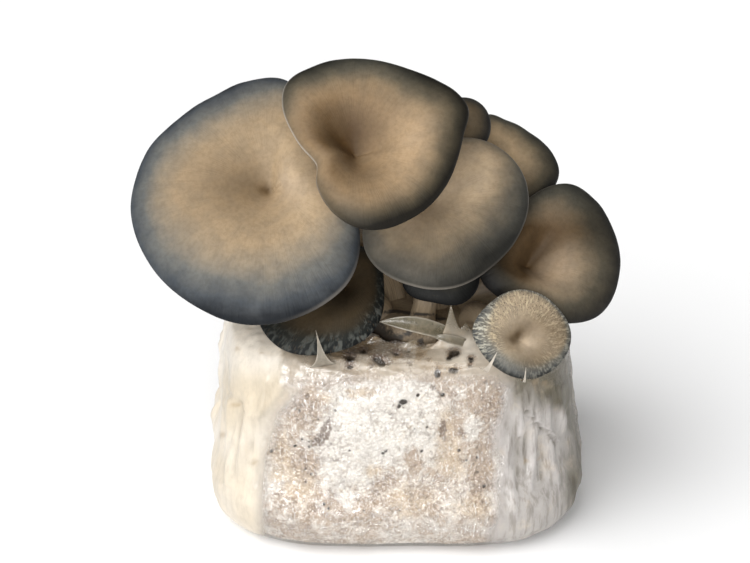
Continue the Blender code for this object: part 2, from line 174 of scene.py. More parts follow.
SKINS = {
    "large_left": Skin(
        (0.35, 0.257, 0.157), (0.272, 0.218, 0.152), (0.13, 0.128, 0.116), (0.056, 0.062, 0.068),
        (0.01, 0.012, 0.015),
        band=((0, 0.7, 1.06), (45, 0.75, 1.08), (90, 0.55, 1.03), (135, 0.56, 1.04), (180, 0.64, 1.08),
            (225, 0.5, 1.09), (270, 0.46, 0.97), (315, 0.43, 1.04)),
        hollows=((-0.28, 0.14, 0.26, 0.22), (-0.09, 0.04, 0.12, 0.3), (-0.03, 0.015, 0.05, 0.55),
            (-0.34, -0.12, 0.2, 0.12), (0.26, 0.06, 0.2, -0.35), (-0.5, 0, 0.5, 0.24), (0, 0.62, 0.34, 0.1),
            (0, -0.45, 0.35, 0.1)),
        folds=((4, 8, 0.55, 0, 0.35), (28, 8, 0.4, 0, 0.3), (-24, 8, 0.4, 0, 0.3), (15, 5, -0.4, 0, 0.25),
            (80, 16, 0.4, 0.1, 0.9), (130, 18, -0.4, 0.2, 1), (300, 15, 0.4, 0.2, 1),
            (235, 14, -0.3, 0.3, 1)), lips=((315, 20, 0.35),), cool=(180, 60, 0.25)),
    "top_centre": Skin(
        (0.345, 0.24, 0.138), (0.25, 0.18, 0.108), (0.12, 0.092, 0.057), (0.045, 0.037, 0.024),
        (0.011, 0.009, 0.006),
        band=((0, 0.58, 1), (45, 0.46, 0.97), (90, 0.53, 1.08), (135, 0.58, 1), (180, 0.85, 1.25),
            (225, 0.75, 1.15), (270, 0.64, 0.97), (315, 0.6, 0.97)),
        hollows=((-0.1, 0.22, 0.4, 0.95), (-0.2, -0.02, 0.22, 0.2), (-0.66, 0, 0.3, 0.75),
            (0, -0.5, 0.38, 0.38), (-0.5, -0.5, 0.25, 0.55), (0.42, 0.05, 0.22, -0.2),
            (-0.02, 0.02, 0.06, 0.15)),
        folds=((198, 15, -1, 0.4, 1.5), (150, 18, 0.8, 0.3, 1.1), (60, 12, -0.7, 0.3, 1.2),
            (245, 20, 0.8, 0.4, 1.2), (20, 14, 0.6, 0.3, 1.1), (6, 13, -1.1, -0.1, 0.6)),
        lips=((182, 34, 1), (95, 45, 0.4)), cool=(100, 65, 0.9)),
    "middle_right": Skin(
        (0.45, 0.34, 0.22), (0.245, 0.188, 0.122), (0.104, 0.088, 0.064), (0.05, 0.046, 0.037),
        (0.018, 0.017, 0.014),
        # At 50 and 90 degrees the band starts late as painted light, keeping the cap pale where the top centre
        # cap's shadow falls
        band=((0, 0.36, 1.05), (50, 0.72, 1.3), (90, 0.6, 1.3), (180, 0.45, 1.15), (225, 0.42, 1.12),
            (270, 0.3, 1.04), (315, 0.28, 0.93)),
        hollows=((-0.17, 0.42, 0.3, 0.9), (-0.28, 0.05, 0.3, 0.6)),
        folds=((130, 20, -0.8, 0.2, 1.2), (250, 16, 0.5, 0.3, 1.1), (310, 14, -0.4, 0.3, 1.1)),
        lips=((262, 45, 0.36), (30, 50, 0.4)), cool=(60, 60, 0.5)),
    "small_back": Skin(
        (0.095, 0.07, 0.042), (0.07, 0.053, 0.033), (0.04, 0.033, 0.024), (0.02, 0.017, 0.014),
        (0.008, 0.007, 0.006), band=((0, 0.4, 1), (120, 0.5, 1.1), (240, 0.4, 1)),
        hollows=((0, 0, 0.3, 0.3),), folds=((80, 25, 0.4, 0.2, 1.2),), lips=((100, 50, 0.2),),
        cool=(90, 60, 0.5)),
    "upper_right": Skin(
        (0.33, 0.24, 0.142), (0.2, 0.15, 0.092), (0.078, 0.064, 0.042), (0.032, 0.028, 0.02),
        (0.011, 0.01, 0.009), band=((0, 0.3, 1), (45, 0.36, 1.02), (90, 0.52, 1.1), (240, 0.4, 0.95)),
        hollows=((-0.2, -0.1, 0.35, 0.3), (0.2, -0.5, 0.4, 0.5)),
        folds=((70, 20, -0.6, 0.2, 1.2), (20, 15, 0.4, 0.2, 1.1)), lips=((90, 60, 0.2),),
        cool=(80, 60, 0.5)),
    "lower_right": Skin(
        (0.37, 0.275, 0.18), (0.215, 0.165, 0.108), (0.085, 0.072, 0.05), (0.038, 0.033, 0.024),
        (0.01, 0.009, 0.008),
        band=((0, 0.34, 1), (60, 0.4, 1.05), (90, 0.45, 1.15), (120, 0.45, 1.1), (180, 0.4, 0.95),
            (240, 0.4, 1), (300, 0.38, 1)),
        hollows=((-0.25, 0.25, 0.42, 1), (-0.55, -0.05, 0.42, 0.95), (0.12, 0.3, 0.25, 0.3),
            (0, 0.05, 0.14, 0.6), (-0.3, -0.35, 0.25, 0.4), (0.5, 0.3, 0.36, 0.75)),
        folds=((20, 14, 0.7, 0.1, 0.8), (60, 14, -0.5, 0.2, 1.2), (285, 16, 0.5, 0.2, 1.1),
            (330, 12, -0.4, 0.3, 1.1)), lips=((80, 50, 0.25),), cool=(70, 60, 0.6)),
    "small_front": Skin(
        (0.35, 0.275, 0.188), (0.272, 0.222, 0.156), (0.16, 0.15, 0.126), (0.088, 0.09, 0.085),
        (0.015, 0.016, 0.015),
        band=((0, 0.8, 1.02), (60, 0.85, 1.05), (120, 0.85, 1.1), (160, 0.5, 1.1), (200, 0.4, 1.08),
            (250, 0.35, 1.02), (300, 0.5, 1), (330, 0.7, 1)),
        hollows=((-0.16, -0.02, 0.12, 0.45), (-0.03, 0.1, 0.12, 0.6), (0.1, 0.25, 0.17, 0.35),
            (0.15, -0.12, 0.13, -0.55), (-0.35, -0.05, 0.25, 0.3), (0.25, 0.35, 0.3, 0.3),
            (0, -0.62, 0.3, 0.35), (0.35, -0.55, 0.3, 0.4), (0.75, 0.05, 0.45, 0.6)),
        folds=((225, 14, -0.5, 0.05, 0.6), (60, 22, 0.4, 0.1, 0.8), (290, 20, 0.7, 0, 0.5),
            (340, 14, -0.3, 0.2, 0.9)),
        cracks=((0, 0.45), (40, 0.75), (90, 0.95), (140, 1), (190, 1), (222, 0.25), (262, 0.1),
            (300, 0.35)), crack_zone=(0.36, 0.66), crack_scale=(19, 19, 9), pit_scale=(24, 24, 17),
        crack_colour=(0.53, 0.43, 0.285)),
    # Painted darker, partly as painted shade: this cap sits in the large left cap's shadow
    "lower_left": Skin(
        (0.066, 0.048, 0.027), (0.045, 0.034, 0.02), (0.02, 0.02, 0.016), (0.012, 0.014, 0.013),
        (0.006, 0.007, 0.007), band=((0, 0.65, 1), (270, 0.62, 1), (180, 0.65, 1)),
        hollows=((0, 0, 0.3, 0.3), (0.6, -0.1, 0.5, 0.5)),
        folds=((300, 16, 0.5, 0.3, 1.2), (250, 14, -0.4, 0.3, 1.2)),
        cracks=((0, 0.4), (90, 0.2), (200, 0.35), (240, 0.45), (270, 0.55), (320, 0.7)),
        crack_zone=(0.66, 0.95), crack_scale=(11, 11, 9), pit_scale=(24, 24, 12),
        crack_colour=(0.145, 0.128, 0.092)),
    # Painted near black, partly as painted shade: this cap sits in the cluster's shade
    "low_centre": Skin(
        (0.04, 0.033, 0.023), (0.028, 0.025, 0.018), (0.013, 0.013, 0.011), (0.008, 0.008, 0.007),
        (0.004, 0.004, 0.004), band=((0, 0.5, 1), (120, 0.5, 1), (240, 0.45, 1)),
        hollows=((0, 0, 0.3, 0.3),), folds=()),
}

LATTICE_SIDE = 64
LATTICE = np.random.default_rng(11).random((LATTICE_SIDE,) * 3) * 2 - 1


def cloud(points, size, seed=0):
    """Smooth noise from -1 to 1 at each point, with lumps of about this size."""
    p = np.asarray(points) / size + seed * 7.31
    cell = np.floor(p).astype(int)
    t = p - cell
    t = t * t * (3 - 2 * t)
    total = np.zeros(len(p))
    for corner in np.ndindex(2, 2, 2):
        weight = np.prod(np.where(corner, t, 1 - t), axis=1)
        x, y, z = ((cell + corner) % LATTICE_SIDE).T
        total += weight * LATTICE[x, y, z]
    return total


def ridged(points, size, seed=0):
    """Noise up to 1 with sharp ridges where it nears 1."""
    return 1 - np.abs(cloud(points, size, seed)) * 2


def smooth(low, high, x):
    """0 below low, 1 above high, and a smooth step between."""
    t = np.clip((x - low) / (high - low), 0, 1)
    return t * t * (3 - 2 * t)


def unit(v):
    """The vector, or each row of vectors, at length 1."""
    return v / np.linalg.norm(v, axis=-1, keepdims=True)


def compass(angles):
    """Flat directions, as (across, up) rows, at angles in degrees."""
    return np.column_stack((np.cos(np.radians(angles)), np.sin(np.radians(angles))))


def near(angles, direction, half_width, strength=1):
    """How near directions in degrees are to one of them, as a soft weight."""
    return strength * np.exp(-(((angles - direction + 180) % 360 - 180) / half_width) ** 2)


def closed_curve(knots, angles):
    """Values at angles, in degrees, of a smooth closed curve through (angle, value) knots."""
    at, value = np.array(sorted(knots)).T
    at = np.concatenate((at - 360, at, at + 360))
    value = np.tile(value, 3)
    slope = (np.roll(value, -1) - np.roll(value, 1)) / (np.roll(at, -1) - np.roll(at, 1))
    i = np.searchsorted(at, angles % 360, side="right") - 1
    span = at[i + 1] - at[i]
    t = (angles % 360 - at[i]) / span
    return ((2 * t**3 - 3 * t**2 + 1) * value[i] + (t**3 - 2 * t**2 + t) * span * slope[i]
            + (3 * t**2 - 2 * t**3) * value[i + 1] + (t**3 - t**2) * span * slope[i + 1])


def placed(name, data):
    """A new object in the scene."""
    made = bpy.data.objects.new(name, data)
    bpy.context.scene.collection.objects.link(made)
    return made


# The points' values that are places, and not one number
VECTOR_VALUES = {"spoke"}


class Piece:
    """Gathers points, with values at each of them, and makes one mesh object of them."""

    def __init__(self, name, turned=False):
        self.name = name
        self.turned = turned
        self.parts = []
        self.faces = []
        self.count = 0
        self.last = None

    def add(self, points, **values):
        """Add points with their values, which are 0 where not given, and give back their numbers."""
        points = np.atleast_2d(points)
        self.parts.append((points, values))
        self.count += len(points)
        return np.arange(self.count - len(points), self.count)

    def join(self, *corners):
        """Add faces, from a list of points' numbers for each of their corners."""
        self.faces += np.stack(corners, axis=-1).reshape(-1, len(corners)).tolist()

    def ring(self, points, **values):
        """Add a ring of points, joined to the one before it, which may have half as many."""
        numbers = self.add(points, **values)
        before, self.last = self.last, numbers
        if before is None:
            return
        after = np.roll(before, -1)
        if len(before) < len(numbers):
            even, odd = numbers[0::2], numbers[1::2]
            self.join(before, even, odd)
            self.join(before, odd, after)
            self.join(after, odd, np.roll(even, -1))
        elif self.turned:
            self.join(numbers, np.roll(numbers, -1), after, before)
        else:
            self.join(before, after, np.roll(numbers, -1), numbers)

    def fan(self, ring, turned, point, **values):
        """Close a ring with a fan to one point."""
        tip = np.full(len(ring), self.add(point, **values)[0])
        after = np.roll(ring, -1)
        self.join(*(after, ring) if turned else (ring, after), tip)

    def close_start(self, point, **values):
        """Close the first ring with a fan to one point."""
        self.fan(np.arange(len(self.parts[0][0])), not self.turned, point, **values)

    def close_end(self, point, **values):
        """Close the last ring with a fan to one point."""
        self.fan(self.last, self.turned, point, **values)

    def grid(self, points, **values):
        """A sheet from a (rows, columns, 3) array of points."""
        flat = {key: value.ravel() for key, value in values.items()}
        numbers = self.add(points.reshape(-1, 3), **flat).reshape(points.shape[:2])
        self.join(numbers[:-1, :-1], numbers[:-1, 1:], numbers[1:, 1:], numbers[1:, :-1])

    def make(self, material, slot, *nodes):
        """The finished object, which rides on the body and stands for its nodes."""
        mesh = bpy.data.meshes.new(self.name)
        mesh.from_pydata(np.concatenate([points for points, _ in self.parts]).tolist(), [], self.faces)
        for key in self.parts[0][1]:
            vector = key in VECTOR_VALUES
            layer = mesh.attributes.new(key, "FLOAT_VECTOR" if vector else "FLOAT", "POINT")
            data = [np.broadcast_to(values.get(key, 0), (len(points), 3) if vector else len(points))
                    for points, values in self.parts]
            layer.data.foreach_set("vector" if vector else "value", np.concatenate(data, dtype=float).ravel())
        mesh.shade_smooth()
        mesh.validate()
        made = placed(self.name, mesh)
        mesh.materials.append(material)
        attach(made, "root")
        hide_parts(*nodes)
        return made


class Shader:
    """A short way to write a material's nodes, with one colour that is built up in coats."""

    def __init__(self, name):
        self.material = bpy.data.materials.new(name)
        self.material.use_nodes = True
        self.tree = self.material.node_tree
        self.main = self.tree.nodes["Principled BSDF"]
        self.where = self.node("TexCoord").outputs["Object"]
        self.colour = None

    def put(self, socket, value):
        """Link a node's output to a socket, or set the socket to a plain value."""
        if isinstance(value, bpy.types.NodeSocket):
            self.tree.links.new(value, socket)
        elif isinstance(value, tuple) and socket.type == "RGBA":
            socket.default_value = (*value, 1)
        else:
            socket.default_value = value

    def node(self, kind, inputs=(), **settings):
        """A node with its settings and inputs, which are (name or number, value) pairs."""
        made = self.tree.nodes.new("ShaderNode" + kind)
        for key, value in settings.items():
            setattr(made, key, value)
        for key, value in inputs:
            self.put(made.inputs[key], value)
        return made

    def value(self, name):
        """A mesh's own value by name."""
        made = self.node("Attribute", attribute_name=name)
        return made.outputs["Vector" if name in VECTOR_VALUES else "Fac"]

    def spread(self, scale, of):
        """A vector, the point's place if there is no other, and its scale, which may differ by axis."""
        vector = self.where if of is None else of
        if isinstance(scale, tuple):
            return self.node("VectorMath", [(0, vector), (1, scale)], operation="MULTIPLY").outputs[0], 1
        return vector, scale

    def noise(self, scale, detail=3, roughness=0.5, distortion=0, of=None):
        """Noise from 0 to 1."""
        names = ("Vector", "Scale", "Detail", "Roughness", "Distortion")
        inputs = zip(names, (*self.spread(scale, of), detail, roughness, distortion))
        return self.node("TexNoise", inputs).outputs["Fac"]

    def cells(self, scale, of=None):
        """Distance to the nearest cell's middle."""
        return self.node("TexVoronoi", zip(("Vector", "Scale"), self.spread(scale, of))).outputs["Distance"]

    def math(self, operation, a, b, clamp=False):
        """One sum."""
        return self.node("Math", [(0, a), (1, b)], operation=operation, use_clamp=clamp).outputs[0]

    def times(self, a, b, clamp=False):
        """One value times another."""
        return self.math("MULTIPLY", a, b, clamp)

    def plus(self, a, b, clamp=False):
        """One value and another."""
        return self.math("ADD", a, b, clamp)

    def less(self, a, b):
        """One value less another."""
        return self.math("SUBTRACT", a, b)

    def swing(self, noise, amount):
        """Noise about 0, at this strength."""
        return self.times(self.less(noise, 0.5), amount)

    def step(self, value, low, high, to_low=0, to_high=1):
        """A smooth step of a value from one range to another."""
        names = ("Value", "From Min", "From Max", "To Min", "To Max")
        inputs = zip(names, (value, low, high, to_low, to_high))
        return self.node("MapRange", inputs, interpolation_type="SMOOTHSTEP").outputs[0]

    def ramp(self, value, places, colours):
        """A colour from one list of places and one of colours."""
        made = self.node("ValToRGB", [(0, value)])
        elements = made.color_ramp.elements
        while len(elements) < len(places):
            elements.new(0.5)
        for element, place, colour in zip(elements, places, colours):
            element.position = place
            element.color = (*colour, 1)
        return made.outputs[0]

    def mix(self, share, a, b, kind="MIX"):
        """A colour under a share of another."""
        return self.node("Mix", [(0, share), (6, a), (7, b)], data_type="RGBA", blend_type=kind).outputs[2]

    def coat(self, share, colour):
        """Cover a share of the surface's colour."""
        self.colour = self.mix(share, self.colour, colour)

    def tint(self, share, colour):
        """Multiply a share of the surface's colour by another."""
        self.colour = self.mix(share, self.colour, colour, "MULTIPLY")

    def bump(self, height, distance, strength=1, normal=None):
        """A bumped normal from a height."""
        inputs = [("Height", height), ("Distance", distance), ("Strength", strength)]
        if normal is not None:
            inputs.append(("Normal", normal))
        return self.node("Bump", inputs).outputs[0]

    def surface(self, roughness, normal=None, gloss=0.5):
        """Set the main surface, and give back the material."""
        looks = {"Base Color": self.colour, "Roughness": roughness, "Specular IOR Level": gloss}
        if normal is not None:
            looks["Normal"] = normal
        for key, value in looks.items():
            self.put(self.main.inputs[key], value)
        return self.material


class Cap:
    """The surfaces of one cap, worked out from its mushroom's measurements."""

    def __init__(self, name):
        self.name = name
        self.spec = spec = MUSHROOMS[name]
        self.skin = SKINS[name]
        self.size = min(spec.rim[0][1] / FULL_REACH, 1) ** 0.5
        turn, lift = (radians(value) for value in spec.facing)
        self.normal = np.array((cos(lift) * sin(turn), -cos(lift) * cos(turn), sin(lift)))
        closer = (EYE_DISTANCE - spec.toward * MM) / EYE_DISTANCE
        x, y = (value * MM * closer for value in spec.seen)
        self.middle = LOOK_AT + ACROSS * x + UP_SEEN * y - SIGHT * spec.toward * MM
        self.hollow = self.on_plane(*spec.hollow)
        foot = np.array((spec.foot[0] * MM, spec.foot[1] * MM, BASE_TOP))
        self.axis = unit(self.normal + unit(self.hollow - foot))
        self.neck = self.hollow - self.normal * (spec.dip - spec.dome) * MM - self.axis * spec.neck * MM

    def on_plane(self, across, up):
        """Points of the cap's plane that are seen this far, in millimetres, from the cap's middle."""
        x = np.asarray(self.spec.seen[0] + across)[..., None]
        y = np.asarray(self.spec.seen[1] + up)[..., None]
        ray = LOOK_AT + (ACROSS * x + UP_SEEN * y) * MM - EYE
        return EYE + ray * ((self.middle - EYE) @ self.normal / (ray @ self.normal))[..., None]

    def rim(self, angles):
        """Points of the rim in seen directions, with the rim's waves along the line of sight."""
        reach = closed_curve(self.spec.rim, angles)
        points = self.on_plane(*(compass(angles).T * reach))
        height, count, turn = self.spec.wave
        wave = height * MM * np.sin(np.radians(count * angles + turn))
        return points + unit(EYE - points) * wave[:, None]

    def rise(self, share):
        """Height of the top over the cap's plane, from the dimple (0) to the rim (1)."""
        dome = (1 - share ** 3) ** 0.6
        width = self.spec.dip_width
        hollow = np.exp(-(share / width) ** 2) + FUNNEL * np.exp(-share / (0.3 * width))
        return (self.spec.dome * dome - self.spec.dip * hollow) * MM

    def top(self, share, rim, angles):
        """Points of the cap's top toward the rim's points, which are seen in these directions."""
        points = self.hollow + (rim - self.hollow) * share + self.normal * self.rise(share)
        relief = 0.5 * cloud(points, 13 * MM, 3) + 0.14 * cloud(points, 4.5 * MM, 5)
        for direction, half_width, height, start, end in self.skin.folds:
            along = smooth(start, (start + end) / 2, share) * smooth(end, (start + end) / 2, share)
            relief = relief + near(angles, direction, half_width, height) * along
        return points + self.normal * (relief * MM * self.size)[:, None]

    def looks(self, angles, share, under=0, gill=0, lip=0):
        """What the cap's material reads at points in these directions."""
        skin = self.skin
        facing = compass(angles)
        across = np.full(len(angles), float(share))
        start = closed_curve([(at, low) for at, low, _ in skin.band], angles)
        end = closed_curve([(at, high) for at, _, high in skin.band], angles)
        # Painted shading: shade from the hollows' spots, or painted light where the strength is below 0
        painted_shading = 0
        for x, y, radius, strength in skin.hollows:
            away = np.linalg.norm(facing * share - (x, y), axis=1) / radius
            painted_shading = painted_shading + strength * np.exp(-away ** 2)
        crack = closed_curve(skin.cracks, angles) if skin.cracks else 0
        # Where the rim is pale: its pale margin, partly a painted highlight where light catches it
        pale = np.clip(sum(near(angles, *place) for place in skin.lips), 0, 1)
        return {"spoke": np.column_stack((facing, across)), "share": across, "painted_shading": painted_shading, "crack": crack,
                "rim": (across - start) / (end - start), "cool": near(angles, *skin.cool), "under": under,
                "gill": gill, "lip": lip * pale}

    def build(self, material):
        """One cap: a domed, dimpled top, a rolled rim, fine gills and a neck that takes the stem."""
        spokes, top_rings, gill_rings, gills = self.spec.fine
        piece = Piece("cap_" + self.name + "_fine", turned=True)
        angles = np.arange(spokes) * 360 / spokes
        rim = self.rim(angles)
        for step in range(1, top_rings + 1):
            share = 1 - (1 - step / top_rings) ** 1.6
            # The top's outer edge takes the pale rim line, partly a painted highlight
            brim = 0.7 * smooth(0.978, 1, share)
            piece.ring(self.top(share, rim, angles), **self.looks(angles, share, lip=brim))
        piece.close_start(self.top(0, rim[:1], angles[:1]), **self.looks(angles[:1], 0))
        edge = self.top(1, rim, angles)
        inward = unit(self.hollow - rim)
        roll = RIM_ROLL * self.size
        for turn in (0.14, 0.3, 0.46, 0.62, 0.8):
            shift = inward * roll * (1 - cos(pi * turn)) - self.normal * roll * sin(pi * turn)
            looks = self.looks(angles, 1, under=smooth(0.55, 0.85, turn), lip=smooth(1, 0.7, turn))
            piece.ring(edge + shift, **looks)
        self.add_gills(piece, gill_rings, gills)
        piece.make(material, "cap", "cap_" + self.name)

    def add_gills(self, piece, rings, gills):
        """The cap's underside, from inside its rim to its neck, with long gills and short ones between."""
        angles = np.arange(2 * len(piece.last)) * 180 / len(piece.last)
        rim = self.rim(angles)
        across = unit(ACROSS - self.axis * (ACROSS @ self.axis))
        around = compass(angles) @ (across, np.cross(self.axis, across))
        neck = self.neck + around * (self.spec.stem[0] * MM + NECK_PLAY)
        long_gills = np.abs((angles * gills / 360) % 1 - 0.5) * 4 - 1
        short_gills = np.abs((angles * gills / 360 + 0.5) % 1 - 0.5) * 4 - 1
        for t in np.linspace(0, 1, rings):
            share = GILL_START - t * GILL_REACH
            flesh = RIM_THICKNESS + (FLESH_THICKNESS - RIM_THICKNESS) * (1 - share) ** 0.8
            points = self.top(share, rim, angles) - self.normal * flesh * self.size
            points = points + (neck - points) * smooth(0.3, 1, t) ** 1.3
            ridge = np.clip(np.maximum(long_gills, short_gills * smooth(0.55, 0.15, t)), 0, 1)
            depth = GILL_DEPTH * self.size * smooth(0, 0.12, t) * (1 - 0.75 * smooth(0.55, 1, t))
            points = points - self.normal * (ridge * depth)[:, None]
            piece.ring(points, **self.looks(angles, share, under=1, gill=ridge))
        piece.close_end(self.neck, **self.looks(angles[:1], 0.3, under=1, gill=0.5))


def cap_material(name, skin):
    """Satin cap skin: tan in the middle, blue-grey toward the rim, with faint fibres, painted shading and a
    pale rim line that is partly a painted highlight; pale gills below.
    """
    s = Shader(name)
    spoke, share, painted_shading = s.value("spoke"), s.value("share"), s.value("painted_shading")
    drift = s.noise(75)
    broad = s.noise(150, 3, 0.55)
    rim = s.plus(s.value("rim"), s.swing(drift, 0.22))
    s.colour = s.ramp(rim, SKIN_COLOUR_PLACES, skin[:5])
    # Painted shade in the dimples and where other caps cast shadows, then painted light where it is below 0
    s.tint(s.times(painted_shading, s.step(drift, 0.2, 0.8, 1.15, 0.85), clamp=True), PAINTED_SHADE_BROWN)
    s.coat(s.times(painted_shading, -1, clamp=True), PAINTED_LIGHT_PALE)
    s.tint(s.times(s.value("cool"), s.step(rim, 0.2, 0.7)), COOL_TINT)
    s.tint(s.step(broad, 0.35, 0.65, 0, 0.7), (0.78, 0.80, 0.84))
    s.tint(s.step(s.noise(620, 3, 0.6), 0.4, 0.65, 0, 0.5), (0.80, 0.78, 0.74))
    fibre = s.step(s.noise((30, 30, 3), 3, 0.6, of=spoke), 0.42, 0.72)
    streak = s.times(fibre, s.step(share, 0.12, 0.45))
    s.tint(s.times(streak, 0.3), (0.84, 0.84, 0.84))
    height = s.times(streak, -0.3)
    if skin.cracks:
        zone = s.times(s.value("crack"), s.step(s.plus(share, s.swing(drift, 0.5)), *skin.crack_zone))
        pale = s.times(s.step(s.noise(skin.crack_scale, 4, 0.6, 0.35, of=spoke), 0.45, 0.62), zone)
        gaps = s.times(s.step(s.cells(skin.pit_scale, of=spoke), 0.34, 0.16), zone)
        torn = s.mix(s.step(rim, 0.3, 0.6), skin.crack_colour, CRACK_COOL_TINT, "MULTIPLY")
        s.coat(s.times(pale, 0.7), torn)
        s.coat(s.times(gaps, 0.8), GAP_BROWN)
        height = s.plus(height, s.times(s.less(pale, gaps), 1.5))
    flesh = s.mix(s.step(s.value("gill"), 0, 0.8), (0.30, 0.24, 0.17), (0.58, 0.51, 0.41))
    flesh = s.mix(s.step(broad, 0.35, 0.7, 0, 0.25), flesh, (0.42, 0.35, 0.27))
    s.coat(s.value("under"), flesh)
    # The pale rim line: partly the rim's pale margin, partly a painted highlight
    s.coat(s.value("lip"), PALE_LIP_AND_HIGHLIGHT)
    grain = s.bump(s.noise(1500, 2, 0.6), 0.1 * MM, 0.3, s.bump(height, 0.25 * MM, 0.6))
    return s.surface(s.step(broad, 0.2, 0.8, 0.46, 0.62), grain, gloss=0.1)


def stem_material():
    """Pale pinkish-tan fibrous flesh of the stems and their fused base, with dark wet grime and painted shadow
    at the foot.
    """
    s = Shader("stem_flesh")
    fibre = s.noise((9, 9, 2.2), 5, 0.65, of=s.value("spoke"))
    tones = ((0.09, 0.06, 0.034), (0.20, 0.145, 0.085), (0.34, 0.255, 0.155))
    s.colour = s.ramp(fibre, (0.25, 0.5, 0.75), tones)
    s.coat(s.step(s.noise(90), 0.35, 0.7, 0, 0.5), (0.24, 0.185, 0.118))
    # Grime and painted shadow at the foot and under the caps
    grime = s.plus(s.value("grime"), s.swing(s.noise(260, 5, 0.7), 2.2))
    s.coat(s.step(grime, 0.35, 0.8), (0.030, 0.021, 0.012))
    return s.surface(0.62, s.bump(fibre, 0.5 * MM, 0.7))


def block_material():
    """White crusty mycelium over damp mauve-tan medium, with brown blotches, granules with painted shade
    between them, pits, specks and a few painted glints.
    """
    s = Shader("mycelium")
    granule = s.cells(760)
    grain = s.noise(1250, 3, 0.7)
    sunken = s.step(s.noise(270, 5, 0.65, 0.5), 0.52, 0.70)
    ragged = s.swing(s.noise(170, 6, 0.72, 0.4), 2.4)
    torn = s.swing(s.noise(420, 5, 0.7), 2.6)
    crust = s.step(s.plus(s.value("crust"), ragged), 0.15, 0.75)
    tan = s.step(s.plus(s.value("tan"), ragged), 0.30, 1)
    brown = s.step(s.plus(s.value("brown"), s.plus(torn, s.times(ragged, 0.5))), 0.45, 1)
    pit = s.step(s.plus(s.value("pit"), s.times(ragged, 0.25)), 0.35, 0.6)
    damp, white, earth = (0.53, 0.42, 0.32), (0.95, 0.93, 0.885), (0.035, 0.024, 0.014)
    s.colour = s.mix(crust, damp, white)
    s.coat(s.step(s.noise(520, 4, 0.6), 0.58, 0.72, 0, 0.55), (0.74, 0.60, 0.41))
    s.coat(s.times(tan, 0.8), (0.70, 0.56, 0.39))
    s.coat(s.times(brown, 0.85), (0.16, 0.095, 0.055))
    uneven = s.step(s.noise(110, 4, 0.6), 0.38, 0.62, 0.1, 0.75)
    # Painted shade between the granules: their borders are darkened
    s.tint(s.times(s.step(granule, 0.40, 0.64), uneven), (0.50, 0.45, 0.42))
    s.tint(s.times(sunken, 0.55), (0.66, 0.60, 0.56))
    dry = s.step(crust, 0, 1, 0.4, 1)
    s.coat(s.times(s.step(grain, 0.57, 0.66, 0, 0.9), dry), (0.97, 0.96, 0.94))
    streak = s.noise((1100, 1100, 260), 3, 0.6)
    s.coat(s.step(streak, 0.60, 0.66, 0, 0.85), (0.98, 0.97, 0.95))
    s.coat(s.step(streak, 0.38, 0.30, 0, 0.6), (0.36, 0.28, 0.20))
    speck = s.times(s.step(s.cells(240), 0.20, 0.12), s.step(s.noise(80, 2), 0.56, 0.62))
    s.coat(s.math("MAXIMUM", speck, pit), earth)
    height = s.less(s.less(s.less(s.times(grain, 0.6), granule), speck), sunken)
    return s.surface(0.6, s.bump(height, 0.6 * MM, 0.8))


def film_material():
    """Clear plastic film: beaded and glinting where it is wet, milky and smooth where it hangs in folds; its
    colour holds painted shade and painted light.
    """
    s = Shader("clear_film")
    wet, warm = s.value("wet"), s.value("warm")
    haze = s.noise(130, 5, 0.65)
    cloudy = s.plus(s.value("milk"), s.swing(haze, 0.4), clamp=True)
    s.colour = s.mix(warm, (0.60, 0.565, 0.54), (0.61, 0.53, 0.41))
    # Pale cream, in places painted paler as painted light against the caps' shadows
    s.coat(s.value("pale"), (0.725, 0.665, 0.575))
    # A dull olive tone, and painted shade where the film is turned from the light, shaded by caps or folded in
    s.coat(s.value("dull"), (0.15, 0.13, 0.085))
    s.coat(s.step(haze, 0.5, 0.8, 0, 0.35), (0.72, 0.58, 0.42))
    streak = s.noise((520, 520, 85), 4, 0.6)
    hanging = s.times(s.step(wet, 0, 0.6, 0.8, 0), s.step(warm, 0, 1, 1, 0.3))
    s.tint(s.times(s.step(streak, 0.45, 0.68), hanging), (0.60, 0.58, 0.55))
    s.coat(s.value("stain"), (0.36, 0.26, 0.15))
    crinkle = s.noise(380, 4, 0.62, 0.8)
    beads = s.step(s.cells(620), 0.5, 0)
    rough = s.times(s.plus(crinkle, s.times(beads, 0.6)), s.step(wet, 0, 1, 0.1, 1))
    rough = s.plus(rough, s.times(streak, s.times(hanging, 0.8)))
    s.surface(0.3, s.bump(rough, 0.4 * MM), gloss=0.35)
    clear = s.node("BsdfTransparent", [("Color", (0.938, 0.929, 0.918))]).outputs[0]
    mirror = s.node("BsdfGlossy", [("Roughness", 0.13), ("Normal", s.bump(rough, 0.8 * MM))]).outputs[0]
    shine = s.times(s.node("Fresnel", [("IOR", 1.5)]).outputs[0], s.step(wet, 0, 1, 0.5, 1.2))
    thin = s.node("MixShader", [(0, s.math("MINIMUM", shine, 0.2)), (1, clear), (2, mirror)]).outputs[0]
    both = s.node("MixShader", [(0, cloudy), (1, thin), (2, s.main.outputs[0])]).outputs[0]
    s.put(s.tree.nodes["Material Output"].inputs["Surface"], both)
    return s.material


def rounded_rectangle(half_x, half_y, angles):
    """Points of a rounded rectangle about the origin, in directions in radians."""
    c, s = np.cos(angles), np.sin(angles)
    reach = (np.abs(c / half_x) ** CORNER_POWER + np.abs(s / half_y) ** CORNER_POWER) ** (-1 / CORNER_POWER)
    return np.column_stack((reach * c, reach * s))


